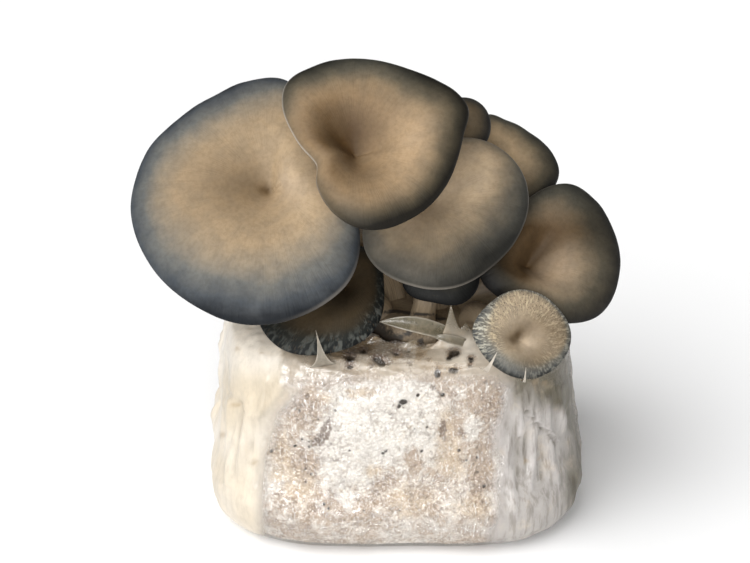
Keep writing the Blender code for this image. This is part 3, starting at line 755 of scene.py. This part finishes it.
def bag_side(inset, rows):
    """The bag's side as (inward, height) rows, set in by a distance square to the side."""
    knots = np.array(BAG_PROFILE) * MM
    length = np.concatenate(([0], np.cumsum(np.linalg.norm(np.diff(knots, axis=0), axis=1))))
    at = length[-1] * (1 - (1 - np.linspace(0, 1, rows)) ** 1.3)
    side = np.column_stack([np.interp(at, length, knots[:, i]) for i in (0, 1)])
    for _ in range(6):
        side[1:-1] = (side[:-2] + 2 * side[1:-1] + side[2:]) / 4
    along = np.gradient(side, axis=0)
    normal = unit(np.column_stack((along[:, 1], -along[:, 0])))
    normal[0] = (1, 1)
    normal[-1] = (0, -1)
    return side + normal * inset


def bag_ring(inward, height, angles):
    """One level ring of the bag's side, with its soft bulges."""
    share = sin(pi * min(height / BAG_HEIGHT, 1))
    bulge = BULGE * share * (np.sin(3 * angles + 1.1) + 0.6 * np.sin(5 * angles + height * 60))
    flat = rounded_rectangle(BAG_WIDTH / 2 - inward + bulge, BAG_DEPTH / 2 - inward + bulge, angles)
    return np.column_stack((flat, np.full(len(angles), height)))


def ellipse(centre, half, angles, z):
    """A level ellipse."""
    return np.column_stack((centre[0] + half[0] * np.cos(angles), centre[1] + half[1] * np.sin(angles),
                            np.full(len(angles), z)))


def outward_of(points):
    """Rough outward directions of the bag's surface at points."""
    half = np.array((BAG_WIDTH / 2, BAG_DEPTH / 2, BAG_HEIGHT * 0.55))
    away = (points - (0, 0, BAG_HEIGHT * 0.45)) / half
    return unit(np.sign(away) * np.abs(away) ** 5 / half)


def relief(points):
    """The lumps that the block and the film that clings to it share, as a height."""
    return (0.7 * cloud(points, 21 * MM, 2) + 0.35 * cloud(points, 8 * MM, 4)) * MM


def spots(points, places):
    """Soft spots, each a place and its radius or its half sizes, as a weight from 0 up."""
    count = points.shape[1]
    return sum(np.exp(-(((points - place[:count]) / place[count:]) ** 2).sum(axis=1)) for place in places)


def creases(points, lines):
    """Height in millimetres of folds along straight lines: (start, end, half width, height)."""
    total = np.zeros(len(points))
    for start, end, width, height in lines:
        span = np.subtract(end, start)
        t = np.clip((points - start) @ span / (span @ span), 0, 1)
        away = np.linalg.norm(points - start - t[:, None] * span, axis=1) / width
        along = 0.35 + 0.65 * np.sin(pi * np.clip(t, 0.04, 0.96)) ** 0.5
        total += height * np.clip(1 - away, 0, 1) ** 1.4 * along
    return total


def seen(points):
    """Where points are seen: right and up of the middle of the view, in millimetres there."""
    ray = points - EYE
    ray = ray * (EYE_DISTANCE / (ray @ SIGHT))[:, None] - (LOOK_AT - EYE)
    return np.column_stack((ray @ ACROSS, ray @ UP_SEEN)) / MM


def in_front(points):
    """1 on the bag's front, and 0 elsewhere, with an uneven border."""
    return smooth(-6 * MM, -22 * MM, points[:, 1] + 7 * MM * cloud(points, 24 * MM, 41))


def front_spots(points, places):
    """Spots as seen, on the bag's front only."""
    return spots(seen(points), places) * in_front(points)


def front_crowded(count):
    """Directions round the bag in radians, closer together toward the front."""
    turn = np.arange(count) * tau / count
    return turn + 0.38 * np.cos(turn)


# Marks on the block's front as seen there, (right, up, half width, half height) in millimetres
PITS = (
    (17.9, -22.6, 2, 1.7), (30.2, -26.4, 2.6, 1.8), (30, -32.9, 2.4, 1.5), (23.8, -34.2, 1.5, 2.3),
    (36.6, -28.7, 1.5, 1.3), (36.3, -31.4, 1, 0.9), (28.1, -28.3, 0.9, 0.9), (11.4, -20, 1.8, 1.3),
    (4.9, -19.6, 2.6, 2.2), (-9.7, -27.9, 1.9, 1.4), (-9.5, -31.6, 1.4, 1.2), (2.7, -30.2, 1.6, 1.7),
    (0.8, -28.6, 1.5, 1.2), (-4.4, -25.4, 1.4, 1), (8.2, -26.4, 1.1, 0.9), (12.8, -25.2, 0.9, 0.7),
    (13.5, -30.5, 0.9, 0.7), (20.5, -29, 0.8, 0.6), (-1.5, -31.8, 0.9, 0.7), (5.5, -30.2, 0.7, 0.6),
    (10.8, -46.2, 1.8, 1.2), (9.1, -48.1, 0.8, 0.8), (16.3, -43.5, 0.9, 1), (25.7, -43.4, 1.1, 0.9),
    (-22.8, -46.6, 0.7, 0.7), (-28.5, -49.8, 0.7, 0.7), (-22, -53, 0.8, 0.8), (-39.7, -65, 0.9, 0.9),
    (-30.5, -63.4, 0.7, 0.7), (-9.3, -65, 0.7, 0.7), (17.9, -65.6, 0.8, 0.8), (20, -56.4, 0.8, 0.7)
)
BROWN_PATCHES = (
    (-22.5, -61.5, 2.4, 1.8), (-19.6, -58.5, 2.4, 2.6), (-17.8, -55, 1.8, 2.4), (26, -56.5, 1.6, 4.8),
    (3, -24, 8, 3.5), (-8, -25, 7, 3), (0.5, -29, 4, 2.4), (12, -27.5, 3, 1.6), (-9.7, -29.5, 2.4, 3.6),
    (2.7, -28, 4, 3), (7, -25.5, 3, 2), (22.4, -40.5, 1.4, 1.2), (41.8, -38, 1.4, 0.9),
    (17.5, -27.2, 1.8, 1), (-25.8, -43.5, 1.2, 1.2)
)
TAN_PATCHES = (
    (27.5, -57, 4.5, 9), (29, -70, 5.5, 8), (-35.5, -66, 4.5, 11), (-5.7, -42.4, 8, 2.6),
    (-0.4, -72.5, 5, 3.5), (25, -32, 12, 6), (-2, -34, 14, 3), (-28, -78, 8, 8), (12, -84, 10, 6),
    (38, -86, 8, 6), (-19, -45, 3, 3)
)
DAMP_PATCHES = (
    (-25, -48, 8, 13), (-28, -32, 7, 5), (-25, -70, 4, 4), (20, -36.5, 16, 2), (-9, -36, 12, 3),
    (14, -66, 3, 7), (42, -45, 4, 7), (40, -72, 4, 10)
)
# White crust on the front; the spots at (28.5, -29.8) and (-5.5, -41.5) are painted glints of the wet film
WHITE_PATCHES_AND_GLINTS = (
    (-3, -58, 14, 16), (14, -55, 7, 13), (37, -57, 2.6, 6), (28.5, -29.8, 2.2, 1.5), (-5.5, -41.5, 3, 1.2),
    (12, -41, 8, 2.5), (-14, -74, 8, 7), (-38, -75, 6, 5)
)

# Dark wet grime on the cluster's foot, and painted shadow in the crevice under the caps and the gaps between
# the film's edge and the stems, as seen there, like the marks above
GRIME_AND_SHADOW = (
    (0.5, -18.5, 7, 4), (6, -22.5, 7, 2.5), (17.5, -22.8, 1.8, 1.6), (12.5, -19.5, 1.6, 1.2),
    (8, -11.5, 6, 0.9), (18, -12.5, 6, 0.9), (25, -14, 3, 0.9), (-3, -23, 4, 2)
)

# Marks on the block's other sides, (x, y, z, radius) in millimetres
BROWN_BEYOND = ((60, 40, 60, 7), (-66, 10, 50, 6), (10, 56, 62, 9), (-30, 56, 40, 6), (70, -5, 40, 5))
TAN_BEYOND = (
    (66, 25, 70, 10), (68, -10, 25, 9), (-68, 25, 66, 10), (-70, -15, 22, 8), (30, 57, 38, 11),
    (-15, 57, 68, 10), (-48, 53, 20, 9), (20, 40, 85, 10)
)


def build_block():
    """The white growing block: lumpy, granular, with sunken pits."""
    angles = front_crowded(440)
    piece = Piece("substrate_block_fine")
    bottom = FILM_THICKNESS + FILM_CLEARANCE
    rings = [bag_ring(inward, height, angles) for inward, height in bag_side(bottom, 112)]
    shoulder = rings[-1]
    top = shoulder[0, 2]
    edge = ellipse(OPENING_CENTRE, OPENING_HALF, angles, top)
    seat = ellipse(BASE_CENTRE, BASE_HALF + SEAT_PLAY, angles, top)
    rings += [shoulder + (edge - shoulder) * share for share in np.linspace(0, 1, 18)[1:]]
    rings += [edge + (seat - edge) * share for share in np.linspace(0, 1, 9)[1:]]
    floor = seat * (1, 1, 0) + (0, 0, BASE_BOTTOM)
    rings += [(seat + floor) / 2, floor]
    for ring in rings:
        on_top = smooth(80 * MM, 85 * MM, ring[:, 2])
        pit = front_spots(ring, PITS)
        tan = front_spots(ring, TAN_PATCHES) + spots(ring / MM, TAN_BEYOND)
        tan = tan + 0.35 * np.clip(cloud(ring, 24 * MM, 31), 0, 1)
        brown = 1.5 * front_spots(ring, BROWN_PATCHES) + spots(ring / MM, BROWN_BEYOND)
        # The crust's whiteness, with two painted glints among its white patches
        crust = 0.55 + 0.75 * front_spots(ring, WHITE_PATCHES_AND_GLINTS) - 0.8 * front_spots(ring, DAMP_PATCHES)
        crust = crust - 0.25 * on_top + 0.35 * cloud(ring, 28 * MM, 32)
        grains = 0.30 * cloud(ring, 2.2 * MM, 8) + 0.2 * np.clip(ridged(ring, 3.5 * MM, 9), 0, 1)
        lump = relief(ring) + (grains - 0.9 - 1.8 * np.clip(pit, 0, 1)) * MM
        moved = ring + outward_of(ring) * (lump * smooth(0, 6 * MM, ring[:, 2]))[:, None]
        moved[:, 2] = np.maximum(moved[:, 2], bottom)
        piece.ring(moved, pit=pit, tan=tan, brown=brown, crust=crust)
    piece.close_start((0, 0, bottom), crust=1)
    piece.close_end(BASE_CENTRE + (0, 0, BASE_BOTTOM))
    piece.make(block_material(), "substrate", "substrate_block")


# Torn peaks of the film's edge: direction in degrees, height, half width in degrees and lean outward
PEAKS = (
    (248, 4, 9, 2), (268, 3, 8, 1), (287.5, 16.5, 5, -1), (295, 8, 12, 1), (340, 11, 9, 4), (30, 9, 9, 4),
    (120, 10, 10, 4), (170, 7, 9, 3), (222, 8, 8, 3), (75, 5, 7, 3), (145, 5, 7, 2), (318, 4, 5, 3)
)

# Folds of the film on the bag's front as seen there: start, end, half width, height, in millimetres
FRONT_FOLDS = (
    ((-36, -26), (-37, -41), 4.5, 1.2), ((-37, -41), (-45, -51), 4, 1.3),
    ((-45, -51), (-54, -77), 3.5, 1.2), ((-54.5, -45), (-56, -76), 2.4, 2.8),
    ((-52.8, -47), (-57.5, -76), 1.3, -2.2), ((-47.5, -44), (-50, -74), 3, 2.2),
    ((-50.5, -46), (-53.5, -76), 1, -1.6), ((-44.5, -52), (-49.5, -76), 1, -1.8),
    ((-40.5, -56), (-45, -78), 0.9, -1.4), ((-56.5, -42), (-48.5, -50), 1.6, -1.4),
    ((-41, -36), (-44, -50), 1.6, 1.8), ((-39, -38), (-41.5, -52), 0.9, -1.2),
    ((-53, -20), (-49, -40), 6, 2), ((-44, -22), (-42, -38), 5, 1.6), ((-57, -30), (-57, -44), 2.5, -1.5),
    ((-31, -27), (-28, -33), 0.9, 1.2), ((-32, -43), (-31.5, -57), 1.2, 1.2),
    ((-40, -62), (-47, -78), 1.6, 1.2), ((-22, -27), (10, -34.5), 1.1, 1), ((-28, -31), (2, -38), 1.2, 1),
    ((-17, -26.5), (36, -31), 1, 0.8), ((-12, -36.5), (-2, -34.5), 0.9, 0.9),
    ((10, -36), (19, -36), 0.9, 1), ((25, -34), (46, -32), 1, 0.9), ((-20, -23.5), (-12, -24), 1, 0.7),
    ((0, -32), (24, -30), 1, 0.7), ((30, -36.5), (42, -36), 0.9, 0.8),
    ((57.3, -49.5), (69.3, -61.5), 0.7, -2.4), ((58.5, -49.5), (70.3, -61), 0.8, 1.6),
    ((48.5, -53), (47.5, -62), 1.2, 1.8), ((50.5, -58), (49, -75), 1.3, 1.8),
    ((56.8, -41.5), (59.6, -53), 1.2, 2.2), ((53.2, -54), (52.4, -70), 0.9, -1.6),
    ((57.2, -58), (57.6, -76), 0.9, -1.8), ((62.6, -60), (63.8, -78), 0.9, -1.8),
    ((66.8, -62), (69.5, -78), 1.1, 1.8), ((55, -44), (55.5, -58), 1.8, 2),
    ((60.5, -56), (59, -78), 1.8, 2.2), ((54.5, -60), (54, -78), 1.6, -1.4),
    ((65.5, -44), (67, -75), 1.8, 1.6), ((70.5, -46), (72, -56), 2, 2.2), ((52, -42), (53, -52), 1.2, 1.2),
    ((73.5, -58), (77, -76), 2.6, 1.6), ((59, -40), (63, -52), 2.6, 1.4), ((51, -62), (53, -90), 2, 1.4),
    ((-30, -80), (-26, -94), 2.6, 1.2), ((30, -78), (26, -94), 2.6, 1.2), ((-6, -82), (-4, -96), 2.4, 1)
)

# Where the film stops clinging to the block on the left and on the right, as (up, right) seen from the front
LEFT_BORDER = ((-95, -58), (-75.4, -51.3), (-50.7, -42.9), (-41.2, -35), (-24, -34.2))
RIGHT_BORDER = ((-76, 43), (-40, 46.5))

# Pale creamy film beside the torn peak, as seen from the front, like the marks on the block; it is painted
# paler as painted light where the caps' shadow falls on it
CREAM_AND_LIGHT = ((35, -25, 7, 5), (27, -21, 4, 4))

# Faint stains in the film, as seen from the front
STAINS = (
    (-58, -58.3, 1, 1), (-51.7, -26.8, 0.8, 0.8), (-43.2, -27.6, 0.7, 0.7), (-53.2, -47, 0.8, 0.8),
    (-45.5, -68.6, 1.2, 0.9), (61, -38.2, 1, 0.9), (64.6, -38.6, 1, 0.8), (62, -67, 0.8, 0.8),
    (57.5, -68.8, 0.8, 0.8)
)

# Loose slivers of torn film: root, tip, width, how blunt the root is, how far the middle bends, and how dull
# and shaded it is, which for the flap under the cluster is painted shadow, with the measures in millimetres
SLIVERS = (
    ((-27.5, -50, 83.5), (-29.7, -55.5, 102.5), 6.5, 1, (0.5, -2.5, 0), 0.6),
    ((21.5, -38.5, 90), (-6.4, -39.5, 96.4), 6.6, 0.15, (-1, -2, 3), 1),
    ((26, -38.5, 86.5), (13, -40, 90.5), 4, 0.3, (0, -2, 1.5), 0.9),
    ((32, -54, 84.5), (36.5, -64, 98.5), 2.4, 0.6, (-1, -4, -1), 0.1),
    ((46.5, -55, 81.5), (47, -66, 93), 1.5, 0.6, (0, -3, -2), 0.2),
    ((-36, -44, 86), (-33, -50, 92), 2.5, 0.8, (0, -1, 0), 0.3)
)


def wandering_folds(count, seed):
    """More folds for the sides and back, from shoulder to foot, by a seeded draw."""
    draw = np.random.default_rng(seed)
    folds = []
    for _ in range(count):
        a = draw.uniform(-0.28, 1.28) * pi
        z0, z1 = draw.uniform(55, 84), draw.uniform(6, 45)
        ends = []
        for angle, z in ((a, z0), (a + draw.normal(0, 0.09), z1)):
            inward = np.interp(z, [h for _, h in BAG_PROFILE], [i for i, _ in BAG_PROFILE])
            half = np.array((BAG_WIDTH, BAG_DEPTH)) / 2 / MM - inward
            ends.append((*rounded_rectangle(*half, np.array([angle]))[0], z))
        folds.append((*ends, draw.uniform(1.3, 4.0), draw.uniform(0.8, 2.0)))
    return folds


def film_rings(angles):
    """Rings of the bag's film, from its bottom to the torn edge of its opening."""
    rings = [bag_ring(inward, height, angles) for inward, height in bag_side(0, 84)]
    top = rings[-1]
    edge = ellipse(OPENING_CENTRE, OPENING_HALF, angles, BAG_HEIGHT)
    tear = cloud(np.column_stack((np.cos(angles), np.sin(angles), angles * 0)), 0.12, 6)
    edge[:, :2] += (edge[:, :2] - OPENING_CENTRE[:2]) * (0.05 * tear)[:, None]
    for share in np.linspace(0, 1, 26)[1:]:
        ring = top + (edge - top) * share
        away = unit(ring[:, :2] - OPENING_CENTRE[:2])
        for at, height, width, lean in PEAKS:
            off = np.abs((np.degrees(angles) - at + 180) % 360 - 180) / (width * (1 + 1.3 * (1 - share)))
            pull = np.clip(1 - off, 0, 1) ** 1.6 * share ** 3
            ring[:, 2] += height * MM * pull
            ring[:, :2] += away * (lean * MM * pull)[:, None]
        ring[:, 2] += 0.8 * MM * share ** 4 * (1 + tear)
        rings.append(ring)
    return rings


def film_looks(ring):
    """How far a ring's points are in front, how slack the film hangs there, and what its material reads."""
    x, y = seen(ring).T
    front = in_front(ring)
    beyond = 1 - front
    stray = 2.2 * cloud(ring, 14 * MM, 33) + cloud(ring, 5 * MM, 34)
    out = x - np.interp(y, *zip(*LEFT_BORDER)) + 0.5 * stray
    left = smooth(1.2, -1.8, out) * front
    left = np.maximum(left, smooth(-48 * MM, -56 * MM, ring[:, 0]) * smooth(50 * MM, 20 * MM, ring[:, 1]))
    beside = smooth(11, 1, out) * smooth(-34, -44, y) * front * (1 - left)
    right = smooth(-2, 7, x - np.interp(y, *zip(*RIGHT_BORDER)) + 1.4 * stray) * front
    drifted = ring * (1, 1, 0.5) + 9 * MM * cloud(ring, 13 * MM, 44)[:, None]
    patchy = smooth(-0.4, 0.5, cloud(drifted, 26 * MM, 35) + 0.5 * cloud(drifted, 11 * MM, 45))
    slack = np.clip(left + right + 0.5 * beside + beyond * (0.3 + 0.7 * patchy), 0, 1)
    top = smooth(-42, -33, y + 1.2 * cloud(ring, 6 * MM, 37)) * (1 - left) * front
    cream_and_light = front_spots(ring, CREAM_AND_LIGHT)
    brown = np.clip(front_spots(ring, BROWN_PATCHES), 0, 1)
    pits = np.clip(1.8 * front_spots(ring, PITS) + 0.55 * brown, 0, 1)

    milk = 0.02 + left * 0.86 + (1 - left) * right * 0.7 + 0.62 * beside + beyond * (0.12 + 0.42 * patchy)
    milk = (milk + (0.46 + 0.35 * np.clip(cream_and_light, 0, 1) - milk) * top) * (1 - pits * (1 - left))
    warm = np.clip(left + 0.8 * beside + 0.8 * top + beyond * (0.35 + 0.4 * patchy), 0, 1)
    pale = (0.75 * left + 1.1 * beside) * smooth(-46, -60, y) * (0.7 + 0.5 * cloud(ring, 12 * MM, 38))
    # Painted light: the left zone's top, which the large left cap shadows, and the cream spots are painted
    # paler
    pale = np.clip(pale + left * smooth(-40, -30, y) + 0.3 * beyond + 0.9 * cream_and_light, 0, 1)

    # Painted shade: the right edge turned from the light, the film under the small front cap, and on round the
    # right side
    low = smooth(-40, -52, y)
    edge_shade = (smooth(64, 71, x) * (1 - low) + smooth(70, 77, x) * low) * front
    shade_under_cap = smooth(48, 56, x) * smooth(-54, -42, y) * front
    torn = smooth(0, 6 * MM, ring[:, 2] - BAG_HEIGHT) * front
    side_shade = beyond * smooth(55 * MM, 70 * MM, ring[:, 0]) * smooth(50 * MM, -15 * MM, ring[:, 1])
    valley = creases(seen(ring), FRONT_FOLDS)
    # Painted shade near the flap under the cluster and in the folds' valleys, with their ridges left paler, and
    # over the right zone, which the light reaches less; elsewhere a dull tone
    dull = top * (0.10 + 0.55 * smooth(-31, -21, y) * smooth(26, 10, x))
    shoulder = smooth(0.93, 1, ring[:, 2] / BAG_HEIGHT) * beyond
    dull = dull + 0.25 * shoulder - 0.12 * left * np.clip(valley, -1, 0)
    dull = dull + (1 - left) * right * (0.20 - 0.26 * np.clip(valley, -1.5, 1)) + 0.5 * side_shade
    dull = np.clip(dull + 0.95 * edge_shade + 0.7 * shade_under_cap + 0.7 * torn - 0.35 * cream_and_light, 0, 1)

    wet = (1 - slack) * (1 - 0.95 * top) * smooth(2 * MM, 18 * MM, ring[:, 2]) * (1 - 0.8 * pits)
    mottle = cloud(ring, 4.5 * MM, 42) + 0.7 * cloud(ring, 2.2 * MM, 43)
    murk = top * smooth(-40, -25, y) * smooth(38, 14, x) * smooth(-34, -18, x)
    stain = np.clip(0.7 * front_spots(ring, STAINS) + murk * (0.25 + 0.65 * smooth(0, 0.55, mottle)), 0, 0.9)
    return front, slack, {"milk": milk, "warm": warm, "pale": pale, "dull": dull, "wet": wet, "stain": stain}


def build_film():
    """The clear bag: film that clings to the block, hangs in folds at its corners and is torn at the top."""
    folds = wandering_folds(60, 5)
    piece = Piece("bag_film_fine")
    for ring in film_rings(front_crowded(420)):
        front, slack, looks = film_looks(ring)
        crinkle = 0.25 * ridged(ring, 6 * MM, 3) + 0.1 * ridged(ring, 2.5 * MM, 4)
        lift = creases(ring / MM, folds) * (1 - front) + creases(seen(ring), FRONT_FOLDS) * front
        lift = lift + 0.4 * slack * (1 + cloud(ring * (1, 1, 0.3), 14 * MM, 36)) + crinkle
        lift = lift + 0.3 * slack * ridged(ring * (1, 1, 0.22), 5 * MM, 39)
        base = smooth(0, 6 * MM, ring[:, 2])
        piece.ring(ring + outward_of(ring) * ((relief(ring) + (lift - 0.7) * MM) * base)[:, None], **looks)
    piece.close_start((0, 0, 0), milk=0.3, warm=0.5)
    for sliver in SLIVERS:
        add_sliver(piece, *sliver)
    film = piece.make(film_material(), "film", "bag_film")
    thick = film.modifiers.new("Thickness", "SOLIDIFY")
    thick.thickness = FINE_FILM_THICKNESS
    thick.offset = -1


def add_sliver(piece, root, tip, width, blunt, bend, dull):
    """A curved, pointed strip of film that rises from its root."""
    root, tip, bend = (np.array(value) * MM for value in (root, tip, bend))
    across = unit(np.cross(tip - root, SIGHT))
    over = np.linspace(-1, 1, 9)[:, None]
    rows = []
    for t in np.linspace(0, 1, 20):
        leaf = sin(pi * (0.15 + 0.85 * t)) ** 0.9
        spike = (1 - t) ** 1.5 + 0.6 * (1 - t) ** 8
        half = width * MM / 2 * (blunt * spike + (1 - blunt) * leaf) + 0.05 * MM
        middle = root + (tip - root) * t + bend * sin(pi * t)
        rows.append(middle + across * half * over + SIGHT * half * 0.35 * (1 - over * over))
    brim = np.broadcast_to(over.T ** 8, (len(rows), len(over)))
    # The sliver's dullness, which for the flap under the cluster is painted shadow
    piece.grid(np.array(rows), milk=0.68 + 0.2 * brim, warm=0.6 + 0 * brim, pale=0.3 + 0 * brim,
               dull=dull * (1 - 0.35 * brim))


def build_base(material):
    """The fused foot of the cluster: a lumpy mound set in the block's top."""
    columns = 160
    angles = np.arange(columns) * tau / columns
    piece = Piece("cluster_base_fine")
    bottom = BASE_BOTTOM + BASE_GAP
    for t in np.linspace(0, 1, 30):
        spread = 0.97 * (1 - smooth(0.15, 1, t) * 0.97)
        height = bottom + (BASE_TOP - BASE_BOTTOM) * smooth(0, 0.45, t)
        ring = ellipse(BASE_CENTRE, BASE_HALF * spread, angles, height)
        lump = (cloud(ring, 8 * MM, 12) * 1.2 + cloud(ring, 3 * MM, 13) * 0.4) * MM * smooth(0, 0.3, t)
        ring = ring + unit(ring - (*BASE_CENTRE[:2], BASE_BOTTOM - 20 * MM)) * lump[:, None]
        along = np.column_stack((np.cos(angles) * 3, np.sin(angles) * 3, np.full(columns, t * 8)))
        piece.ring(ring, spoke=along, grime=spots(seen(ring), GRIME_AND_SHADOW))
    piece.close_start(BASE_CENTRE + (0, 0, bottom))
    piece.close_end(ring.mean(axis=0), spoke=(0, 0, 8))
    piece.make(material, "stem", "cluster_base")


def build_stem(cap, material, seed):
    """One stem: a bent, fibrous tube that flares into the base and runs up inside the cap's neck."""
    spec = cap.spec
    foot = np.array((spec.foot[0] * MM, spec.foot[1] * MM, BASE_TOP - 1.5 * MM))
    head = cap.neck + cap.axis * 1.5 * MM
    length = np.linalg.norm(head - foot)
    pull = length * 0.4
    handles = np.array((foot, foot + (0, 0, pull), head - cap.axis * pull, head))
    columns = 72
    turns = np.arange(columns) * tau / columns
    piece = Piece("stem_" + cap.name + "_fine")
    for t in np.linspace(0, 1, 61):
        u = 1 - t
        centre = (u ** 3, 3 * u * u * t, 3 * u * t * t, t ** 3) @ handles
        slope = unit((u * u, 2 * u * t, t * t) @ np.diff(handles, axis=0))
        across = unit(ACROSS - slope * (ACROSS @ slope))
        radius = (spec.stem[1] + (spec.stem[0] - spec.stem[1]) * t) * MM
        radius *= 1 + 0.22 * np.exp(-t * length / (5 * MM))
        circle = np.cos(turns)[:, None] * across + np.sin(turns)[:, None] * np.cross(slope, across)
        along = np.full(columns, t * length / FIBRE_LENGTH)
        strand = np.column_stack((np.cos(turns) * 3, np.sin(turns) * 3, along))
        grooves = 0.05 * cloud(strand, 1.1, seed) + 0.025 * cloud(strand, 0.42, seed + 1)
        wobble = 0.04 * cloud(centre + circle * radius, 9 * MM, seed + 2)
        ring = centre + circle * (radius * (1 + grooves + wobble))[:, None]
        piece.ring(ring, spoke=strand, grime=spots(seen(ring), GRIME_AND_SHADOW))
    piece.close_start(foot)
    piece.close_end(head, spoke=(0, 0, length / FIBRE_LENGTH))
    piece.make(material, "stem", "stem_" + cap.name)


# Lights: the side it comes from, how many degrees wide it is, and its strength
SUNS = {"key": ((-0.50, -0.42, 0.76), 60, 0.98), "fill": ((0.05, -0.95, 0.3), 30, 0.52),
        "glint": ((-0.25, -0.95, 0.12), 12, 0.9)}


def build_stage():
    """A pale floor, a soft key light from the upper left, and the camera on the layout's line of sight."""
    scene = bpy.context.scene
    mesh = bpy.data.meshes.new("floor")
    corners = [(x * FLOOR_SIDE, y * FLOOR_SIDE, 0) for x, y in ((-1, -1), (1, -1), (1, 1), (-1, 1))]
    mesh.from_pydata(corners, [], [range(4)])
    s = Shader("floor")
    s.colour = s.mix(s.noise(3, 2), (0.90, 0.90, 0.90), (0.93, 0.93, 0.93))
    mesh.materials.append(s.surface(0.9))
    placed("floor", mesh)
    for name, (source, angle, strength) in SUNS.items():
        light = bpy.data.lights.new(name, "SUN")
        light.energy = strength * pi
        light.angle = radians(angle)
        sun = placed(name, light)
        sun.rotation_euler = Vector(source).to_track_quat("Z", "Y").to_euler()
        sun.visible_diffuse = name != "glint"
    scene.world = bpy.data.worlds.new("studio")
    scene.world.use_nodes = True
    sky = scene.world.node_tree.nodes["Background"]
    sky.inputs["Color"].default_value = (1, 1, 1, 1)
    sky.inputs["Strength"].default_value = 0.28
    camera = placed("camera", bpy.data.cameras.new("camera"))
    camera.location = EYE
    camera.rotation_euler = Vector(SIGHT).to_track_quat("-Z", "Y").to_euler()
    camera.data.sensor_width = SENSOR_WIDTH
    camera.data.lens = SENSOR_WIDTH * EYE_DISTANCE / VIEW_WIDTH
    scene.camera = camera
    scene.view_settings.view_transform = "Standard"


def main():
    """The stage, the bag with its block, and the cluster on its base."""
    build_stage()
    build_block()
    build_film()
    flesh = stem_material()
    build_base(flesh)
    for seed, name in enumerate(MUSHROOMS):
        cap = Cap(name)
        cap.build(cap_material("cap_" + name, cap.skin))
        build_stem(cap, flesh, 20 + 3 * seed)


main()
